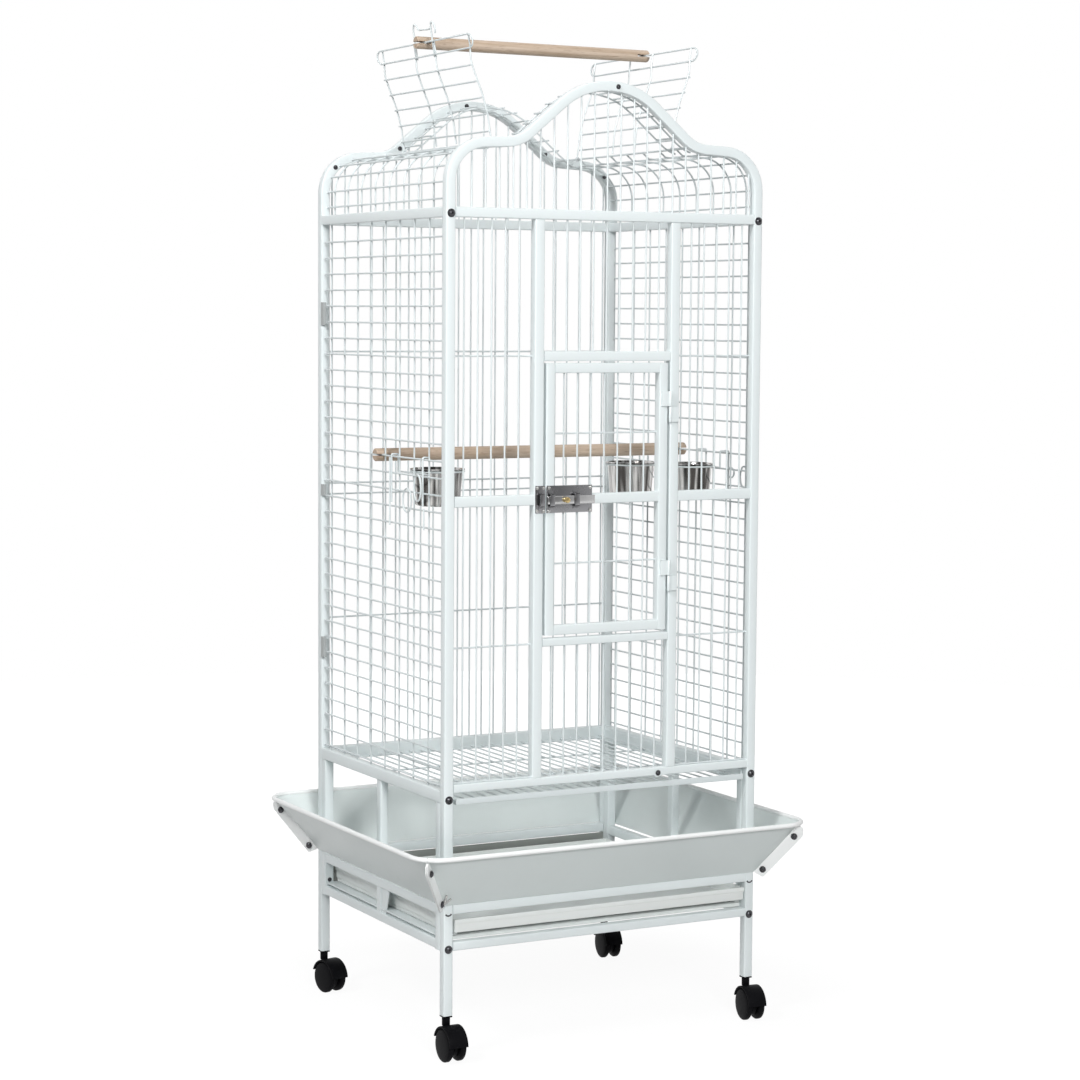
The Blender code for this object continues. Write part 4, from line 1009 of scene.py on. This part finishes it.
for end_name, y in (("front", -post_y), ("rear", post_y)):
    under = arch_at(y, half_tube - 0.001)
    rail_start = (-between_hoops, y - half_tube, top_rail - half_tube)
    rail_end = (between_hoops, y + half_tube, top_rail + half_tube)
    mesh = bmesh.new()
    slab(mesh, rail_start, rail_end, 0.0016)
    rail = finished("gable_" + end_name + "_rail", mesh, tube_coat)
    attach(rail, "cage")
    mesh = bmesh.new()
    for x in end_bars:
        straight_wire(mesh, (x, y, top_rail), (x, y, height_on(under, x)))
    bars = finished("gable_" + end_name + "_bars", mesh, shaded_wire_coat)
    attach(bars, "cage")
    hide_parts("gable_" + end_name)


# The roof. Bent wires follow the arch below its tube, with long wires laid on
# them: two closed shoulders, and a narrow strip beside each arch.
roof_cut, roof_cut_depth = 0.158, 0.158
pivot_z, roof_pitch, hinge_wire = base + 0.975, 0.0245, 0.0016
roof_end = inner_y - gap


def marks(line, start, pitch):
    """Points at an even pitch along a line."""
    found, gone, want = [], 0.0, start
    for a, b in zip(line, line[1:]):
        run = (b - a).length
        while want <= gone + run:
            found.append(a.lerp(b, (want - gone) / run))
            want += pitch
        gone += run
    return found


roof_line = arch_at(0.0, 0.006)
for side, hand in (("left", -1), ("right", 1)):
    line = [p for p in roof_line if hand * p.x > roof_cut + 0.004 and p.z > top_rail + 0.015]
    if hand > 0:
        line.reverse()
    foot, head = Vector((line[0].x, 0, top_rail + half_tube - 0.001)), Vector((hand * roof_cut, 0, pivot_z))
    line = [foot] + line + [head]
    mesh = bmesh.new()
    for y in columns:
        led_wire(mesh, [p + Vector((0, y, 0)) for p in line], wire)
    for p in marks(beside(line, hand * step_out), 0.014, roof_pitch)[:-1]:
        straight_wire(mesh, (p.x, -roof_end, p.z), (p.x, roof_end, p.z))
    straight_wire(mesh, (head.x, -roof_end, pivot_z), (head.x, roof_end, pivot_z), hinge_wire)
    shoulder = finished("roof_shoulder_" + side + "_mesh", mesh, shaded_wire_coat)
    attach(shoulder, "cage")
    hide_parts("roof_shoulder_" + side)

dome_end = roof_cut - gap - wire
dome = [p for p in roof_line if abs(p.x) < dome_end - 0.003]
dome_ends = [Vector((x, 0, height_on(roof_line, x))) for x in (-dome_end, dome_end)]
dome = [dome_ends[0]] + dome + [dome_ends[1]]
for end_name, hand in (("front", -1), ("rear", 1)):
    mesh = bmesh.new()
    for y in (0.209, 0.1642):
        led_wire(mesh, [p + Vector((0, hand * y, 0)) for p in dome], wire)
    for p in marks(beside(dome, -step_out), 0.012, roof_pitch):
        straight_wire(mesh, (p.x, hand * roof_cut_depth, p.z), (p.x, hand * roof_end, p.z))
    strip = finished("roof_strip_" + end_name + "_mesh", mesh, shaded_wire_coat)
    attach(strip, "cage")
    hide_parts("roof_strip_" + end_name)


# The roof flaps. Four bent wires with short rows and a closed top loop, on
# wire eyes that turn round the hinge wire. They stand open as a play top.
flap_rise = 0.1585
flap_steps = [
    (0.0000, 0.0032), (0.0050, 0.0400), (0.0140, 0.0713), (0.0260, 0.1005), (0.0330, 0.1197),
    (0.0343, 0.1413), (0.0372, flap_rise),
]
flap_columns, flap_row_end = (-0.152, -0.035, 0.035, 0.152), 0.1534
loop_tall, loop_bend = 0.0205, 0.008
loop_ends = [(0.0, 0.158), (0.2, 0.1665), (0.5, 0.169), (0.8, 0.1665), (1.0, 0.158)]
eye_radius, eye_wire = 0.0032, 0.0011
latch_wires = (
    [(0.0305, -0.20), (0.0305, 2.15), (0.0265, 2.45), (0.0205, 2.43), (0.0130, 1.98), (-0.0280, 1.90)],
    [(-0.0305, -0.20), (-0.0305, 0.90), (-0.0305, 1.60), (-0.0305, 2.15), (-0.0340, 2.42), (-0.0410, 2.31),
     (-0.0455, 1.82), (-0.0420, 1.54)],
)
for side, hand, lean in (("left", -1, 0.012), ("right", 1, -0.030)):
    line = [Vector((hand * (roof_cut + out + lean * up), 0.0, pivot_z + up)) for out, up in flap_steps]
    smooth = eased(line, [0.03] * len(line))
    loop_foot = sum((b - a).length for a, b in zip(line, line[1:])) - loop_tall
    top, under = line[-1], marks(line, loop_foot, 1.0)[0]
    body_name = "roof_flap_" + side
    mesh = bmesh.new()
    for y in flap_columns:
        led_wire(mesh, [p + Vector((0, y, 0)) for p in smooth], wire)
    for p in marks(beside(smooth, hand * step_out), loop_foot % mesh_row, mesh_row):
        if p.z < under.z - mesh_row / 2:
            straight_wire(mesh, (p.x, -flap_row_end, p.z), (p.x, flap_row_end, p.z))
    run = top - under
    out = Vector((run.z, 0, -run.x)).normalized() * (hand * step_out)
    far_end = [under.lerp(top, share) + out + Vector((0, y, 0)) for share, y in loop_ends]
    near_end = [under.lerp(top, share) + out - Vector((0, y, 0)) for share, y in reversed(loop_ends)]
    loop = [under + out] + far_end + near_end + [under + out]
    led_wire(mesh, eased(loop, [loop_bend] * len(loop), 30.0)[:-1], wire, closed=True)
    for y in (flap_columns[0], flap_columns[-1]):
        eye = bmesh.new()
        place = Matrix.Translation((hand * (roof_cut + eye_radius), y, pivot_z))
        bmesh.ops.create_circle(eye, cap_ends=False, segments=8, radius=eye_wire, matrix=place)
        bmesh.ops.spin(
            eye, geom=eye.edges[:], cent=(hand * roof_cut, y, pivot_z), axis=(0, 1, 0), angle=2 * math.pi,
            steps=20, use_merge=True,
        )
        merged(mesh, eye)
    if side == "left":
        latch_mesh = bmesh.new()
        for shape in latch_wires:
            path = [under.lerp(top, share) + Vector((0, y, 0)) for y, share in shape]
            led_wire(latch_mesh, eased(path, [loop_bend] * len(path), 20.0), wire)
        latch = finished(body_name + "_latch", latch_mesh, shaded_wire_coat, 50.0)
        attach(latch, body_name)
    flap = finished(body_name + "_wires", mesh, shaded_wire_coat)
    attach(flap, body_name)
    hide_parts(body_name)


# The perches. Turned beech rods, sanded but not varnished, with a slot sawn
# into each end that pushes over a wire.
def beech(name):
    """Beech along X: drawn-out grain, short dark rays and a little handling."""
    made = Finish(name)
    grain = made.noise(made.place((3.0, 60.0, 60.0)), 3.0, 5.0, 0.6)
    bands = made.noise(made.place((1.0, 22.0, 22.0)), 2.2, 2.0, 0.5)
    rays = made.between(made.noise(made.place((70.0, 900.0, 900.0)), 1.0, 1.0, 0.5), 0.62, 0.72)
    knots = made.between(made.noise(made.place((5.0, 20.0, 20.0)), 1.6, 2.0, 0.5), 0.66, 0.76)
    pale = made.blend(made.between(grain, 0.35, 0.70), (0.67, 0.545, 0.435), (0.46, 0.345, 0.245))
    toned = made.blend(made.between(bands, 0.30, 0.72) * 0.60, pale, (0.36, 0.255, 0.18))
    flecked = made.blend(rays * 0.45 + knots * 0.35, toned, (0.22, 0.13, 0.075))
    normal = made.bump(grain + rays * 0.6, 0.00022, 0.8)
    return made.feed(Base_Color=flecked, Roughness=0.52 + 0.16 * grain, Normal=normal)


slot_half, slot_deep, chamfer = 0.0018, 0.023, 0.0012


def slotted_end(mesh, inner, tip, radius, y, z):
    """The sawn end of a perch: two tongues above and below its slot."""
    edge = tip + (chamfer if inner > tip else -chamfer)
    profile = [(0, inner), (radius, inner), (radius, edge), (radius - chamfer, tip), (0, tip)]
    for hand in (-1, 1):
        part = bmesh.new()
        lathe(part, profile, (0, y, z), (1, 0, 0), 40)
        cut = bmesh.ops.bisect_plane(
            part, geom=part.verts[:] + part.edges[:] + part.faces[:], dist=1e-7,
            plane_co=(0, y, z + hand * slot_half), plane_no=(0, 0, -hand), clear_outer=True,
        )
        rims = [e for e in cut["geom_cut"] if isinstance(e, bmesh.types.BMEdge)]
        bmesh.ops.contextual_create(part, geom=rims)
        merged(mesh, part)


carrying_row = rows[13]
wood = beech("perch_beech")
for name, body_name, low_x, high_x, y, z, radius in (
    ("perch_top", "perch_top", -0.2115, 0.2005, 0.0, pivot_z + flap_rise - 0.0004, 0.0095),
    ("perch_inner", "cage", -0.277, 0.280, 0.004, carrying_row, 0.0100),
):
    start, end = low_x + slot_deep, high_x - slot_deep
    mesh = bmesh.new()
    lathe(mesh, [(0, start), (radius, start), (radius, end), (0, end)], (0, y, z), (1, 0, 0), 40)
    slotted_end(mesh, start, low_x, radius, y, z)
    slotted_end(mesh, end, high_x, radius, y, z)
    perch = finished(name + "_wood", mesh, wood, 35.0)
    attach(perch, body_name)
    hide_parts(name)


# The cups. Spun stainless steel with a turned-out lip, each hung in a ring of
# coated wire whose two hooks go over a row of the side mesh.
def spun_steel(name):
    """Polished steel with painted reflections: dark and bright upright bands in its colour."""
    made = Finish(name)
    # Painted reflections: bands of dark and bright steel colour stand for the uprights mirrored round the
    # cup.
    bands = made.between(made.noise(made.place((1.0, 1.0, 0.04)), 95.0, 2.0, 0.5), 0.42, 0.60)
    lines = made.noise(made.place((1.0, 1.0, 30.0)), 40.0, 3.0, 0.6)
    tint = made.blend(bands, (0.075, 0.070, 0.066), (0.66, 0.65, 0.635))
    normal = made.bump(lines, 0.00002, 0.5)
    return made.feed(Base_Color=tint, Metallic=1.0, Roughness=0.13 + 0.08 * lines, Normal=normal)


steel = spun_steel("cup_steel_painted_reflections")
cup_profile = [
    (0, -0.0570), (0.0290, -0.0570), (0.0312, -0.0566), (0.0334, -0.0552), (0.0345, -0.0530),
    (0.0384, -0.0036), (0.0390, -0.0027), (0.0410, -0.0024), (0.0419, -0.0017), (0.0419, -0.0009),
    (0.0410, -0.0003), (0.0384, 0.0), (0.0377, -0.0010), (0.0338, -0.0525), (0.0326, -0.0548),
    (0.0308, -0.0560), (0.0290, -0.0563), (0, -0.0563),
]
ring_radius, arm_out = 0.0393 + wire, 0.0402
hook_top, hook_tail, hook_bend = carrying_row + 2 * wire + 0.0006, carrying_row - 0.070, 0.0016
left_tails = ((-0.045, 0.396, 0.500), (-0.165, 0.397, 0.429))
left_loops = ((-0.110, 0.438, 0.015, 0.018), (-0.146, 0.459, 0.012, 0.020))
front_loops = ((-0.148, 0.470, 0.010, 0.008), (-0.187, 0.465, 0.011, 0.017))
rear_loops = ((0.105, 0.462, 0.010, 0.010),)
for place, hand, x, y, lip_z, hooks, tails, loops in (
    ("left", -1, -0.220, -0.100, base + 0.485, (-0.155, -0.045), left_tails, left_loops),
    ("right_front", 1, 0.215, -0.115, base + 0.485, (-0.148, -0.080), (), front_loops),
    ("right_rear", 1, 0.215, 0.065, base + 0.478, (0.025, 0.105), (), rear_loops),
):
    mesh = bmesh.new()
    lathe(mesh, cup_profile, (x, y, lip_z), (0, 0, 1), 64)
    cup = finished("cup_" + place + "_bowl", mesh, steel)
    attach(cup, "cup_" + place)
    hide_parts("cup_" + place)

    ring_z = lip_z - 0.0027 - gap - wire
    outside = hand * (post_x + step_out + 2 * wire + 0.0007)
    inside = hand * (abs(x) + arm_out)
    mesh, ring = bmesh.new(), bmesh.new()
    section = Matrix.Translation((x + ring_radius, y, ring_z)) @ Matrix.Rotation(math.pi / 2, 4, "X")
    bmesh.ops.create_circle(ring, cap_ends=False, segments=8, radius=wire, matrix=section)
    bmesh.ops.spin(
        ring, geom=ring.edges[:], cent=(x, y, ring_z), axis=(0, 0, 1), angle=2 * math.pi, steps=48,
        use_merge=True,
    )
    merged(mesh, ring)
    straight_wire(mesh, (inside, hooks[0], ring_z - 0.0022), (inside, hooks[1], ring_z - 0.0022))
    for spot in hooks:
        path = [
            (outside, spot, hook_tail), (outside, spot, hook_top), (inside, spot, hook_top),
            (inside, spot, ring_z - 0.0030),
        ]
        led_wire(mesh, eased(path, [hook_bend] * len(path), 30.0), wire)
    tail_x, loop_x = outside + hand * 0.0030, outside + hand * 0.0045
    for spot, tail_low, tail_high in tails:
        straight_wire(mesh, (tail_x, spot, base + tail_low), (tail_x, spot, base + tail_high))
    for loop_y, loop_z, half_wide, half_tall in loops:
        oval = bmesh.new()
        turn = Matrix.Translation((loop_x, loop_y, base + loop_z)) @ Matrix.Rotation(math.pi / 2, 4, "Y")
        turn = turn @ Matrix.Diagonal((half_tall, half_wide, 1, 1))
        bmesh.ops.create_circle(oval, cap_ends=False, segments=18, radius=1.0, matrix=turn)
        led_wire(mesh, [v.co for v in oval.verts], wire, 6, closed=True)
        oval.free()
    holder = finished("cup_holder_" + place + "_wires", mesh, shaded_wire_coat)
    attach(holder, "cage")
    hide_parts("cup_holder_" + place)


# The frame's screws. Blackened steel with domed heads, in the posts, the side
# frames and the arches. A small dark crescent of the same steel on each front
# leg is a painted shadow.
def dark_steel(name, tone, rough):
    """Blackened or plated screw steel with small tool marks."""
    made = Finish(name)
    scuffs = made.between(made.noise(made.place(), 900.0, 4.0, 0.7), 0.45, 0.75)
    tint = made.blend(scuffs, tone, tuple(c * 1.7 for c in tone))
    normal = made.bump(scuffs, 0.00005, 0.6)
    return made.feed(Base_Color=tint, Metallic=1.0, Roughness=rough + 0.18 * scuffs, Normal=normal)


def screw(mesh, place, axis, radius):
    """Domed screw head with a driver recess, on a thin washer."""
    washer, dome, seat = radius * 1.25, radius * 0.55, 0.0008
    profile = [
        (0, 0.0), (washer, 0.0), (washer, 0.0007), (radius, seat), (radius * 0.94, seat + dome * 0.45),
        (radius * 0.72, seat + dome * 0.80), (radius * 0.42, seat + dome),
        (radius * 0.36, seat + dome * 0.35), (0, seat + dome * 0.30),
    ]
    lathe(mesh, profile, place, axis, 20)


screw_paint = dark_steel("screw_steel", (0.07, 0.07, 0.075), 0.28)
post_screw, side_screw, arch_screw = 0.0050, 0.0028, 0.0030
screw_levels = (0.167, base, base + 0.865)
shadow_z, shadow_half, shadow_sag, shadow_edge = 0.2222, 0.0050, 0.0042, 0.0012
sag = [math.radians(angle) for angle in range(200, 341, 20)]
mesh = bmesh.new()
for hand in (-1, 1):
    for end in (-1, 1):
        for z in screw_levels:
            screw(mesh, (hand * post_x, end * depth / 2, z), (0, end, 0), post_screw)
    screw(mesh, (hand * post_x, inner_y - gap - tube, 0.1880), (0, -1, 0), side_screw)
    # Painted shadow: a thin arc of the screws' dark steel on the face of each front leg.
    middle = Vector((hand * post_x, -depth / 2, shadow_z))
    painted_shadow = [middle + Vector((shadow_half * math.cos(a), 0, shadow_sag * math.sin(a))) for a in sag]
    led_wire(mesh, painted_shadow, shadow_edge, 6)
arch_top = arch_at(0.0)
for x, y in [(0.013, -depth / 2)] + [(x, inner_y) for x in (-0.013, -0.134, 0.134, -0.248, 0.248)]:
    screw(mesh, (x, y, height_on(arch_top, x)), (0, -1, 0), arch_screw)
screws = finished("frame_screws", mesh, screw_paint, 30.0)
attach(screws, "cage")


# The latch's screws. Small zinc plated ones, two beside each end of its two
# plates, driven from the front into the stile and the door.
zinc = dark_steel("zinc_steel", (0.42, 0.42, 0.41), 0.24)
plate_screw = 0.0021
for carrier, x_places in (("cage", (-0.1210, -0.1104)), ("door", (-0.1012, -0.0306))):
    mesh = bmesh.new()
    for x in x_places:
        for z in (plate_low + 0.0033, plate_high - 0.0033):
            screw(mesh, (x, latch_face - 0.0010, z), (0, -1, 0), plate_screw)
    plate_screws = finished("latch_screws_on_" + carrier, mesh, zinc, 30.0)
    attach(plate_screws, carrier)


# The guards' bolts. Two dark bolts go through each pair of flanges, and the
# lower one at the front left corner has a bright zinc wing nut.
bolt_rises, bolt_place, guard_bolt = (0.0156, 0.0903), (0.0092, 0.0032), 0.0042


def flange_facing(face, hand):
    """Which way a bolt points through a guard's flange."""
    return (guard_place(face, -hand, 1, 0) - guard_place(face, 0, 0, 0)).normalized()


mesh = bmesh.new()
for face in ("front", "rear", "left", "right"):
    for hand in (-1, 1):
        for up in bolt_rises:
            screw(mesh, flange_place(face, hand, up, *bolt_place), flange_facing(face, hand), guard_bolt)
guard_bolts = finished("guard_bolts", mesh, screw_paint, 30.0)
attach(guard_bolts, "cage")

mesh = bmesh.new()
facing = flange_facing("front", -1)
root = flange_place("front", -1, bolt_rises[0], *bolt_place) + facing * 0.0030
for wing_out, wing_lift in ((0.011, 0.0095), (0.004, 0.014)):
    tip = root + facing * wing_out + Vector((0, 0, wing_lift))
    led_wire(mesh, [root, root.lerp(tip, 0.5), tip], 0.0016, 8)
wing_nuts = finished("guard_wing_nuts", mesh, zinc, 30.0)
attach(wing_nuts, "cage")


# The mesh clips. Three short folded pieces of grey steel tie the left side
# panel to the rear post.
clip_coat = powder_coat("clip_coat", (0.36, 0.38, 0.38), coat_shade, 700.0)
mesh = bmesh.new()
for z_low, z_high in ((0.162, 0.195), (0.425, 0.443), (0.700, 0.736)):
    clip_x, clip_y = (width / 2 - 0.0040, width / 2 + 0.0010), (inner_y - 0.0105, inner_y + 0.0005)
    side_slab(mesh, -1, clip_x, clip_y, (base + z_low, base + z_high), 0.0004)
clips = finished("mesh_clips", mesh, clip_coat)
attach(clips, "cage")


# The turn button's pivot. A dark shouldered screw through the round end of
# the button into the bottom rail, which it turns with.
pivot_screw = 0.0034
mesh = bmesh.new()
screw(mesh, button_hub - Vector((0, 0.0016, 0)), (0, -1, 0), pivot_screw)
button_screw = finished("turn_button_screw", mesh, screw_paint, 30.0)
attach(button_screw, "turn_button")
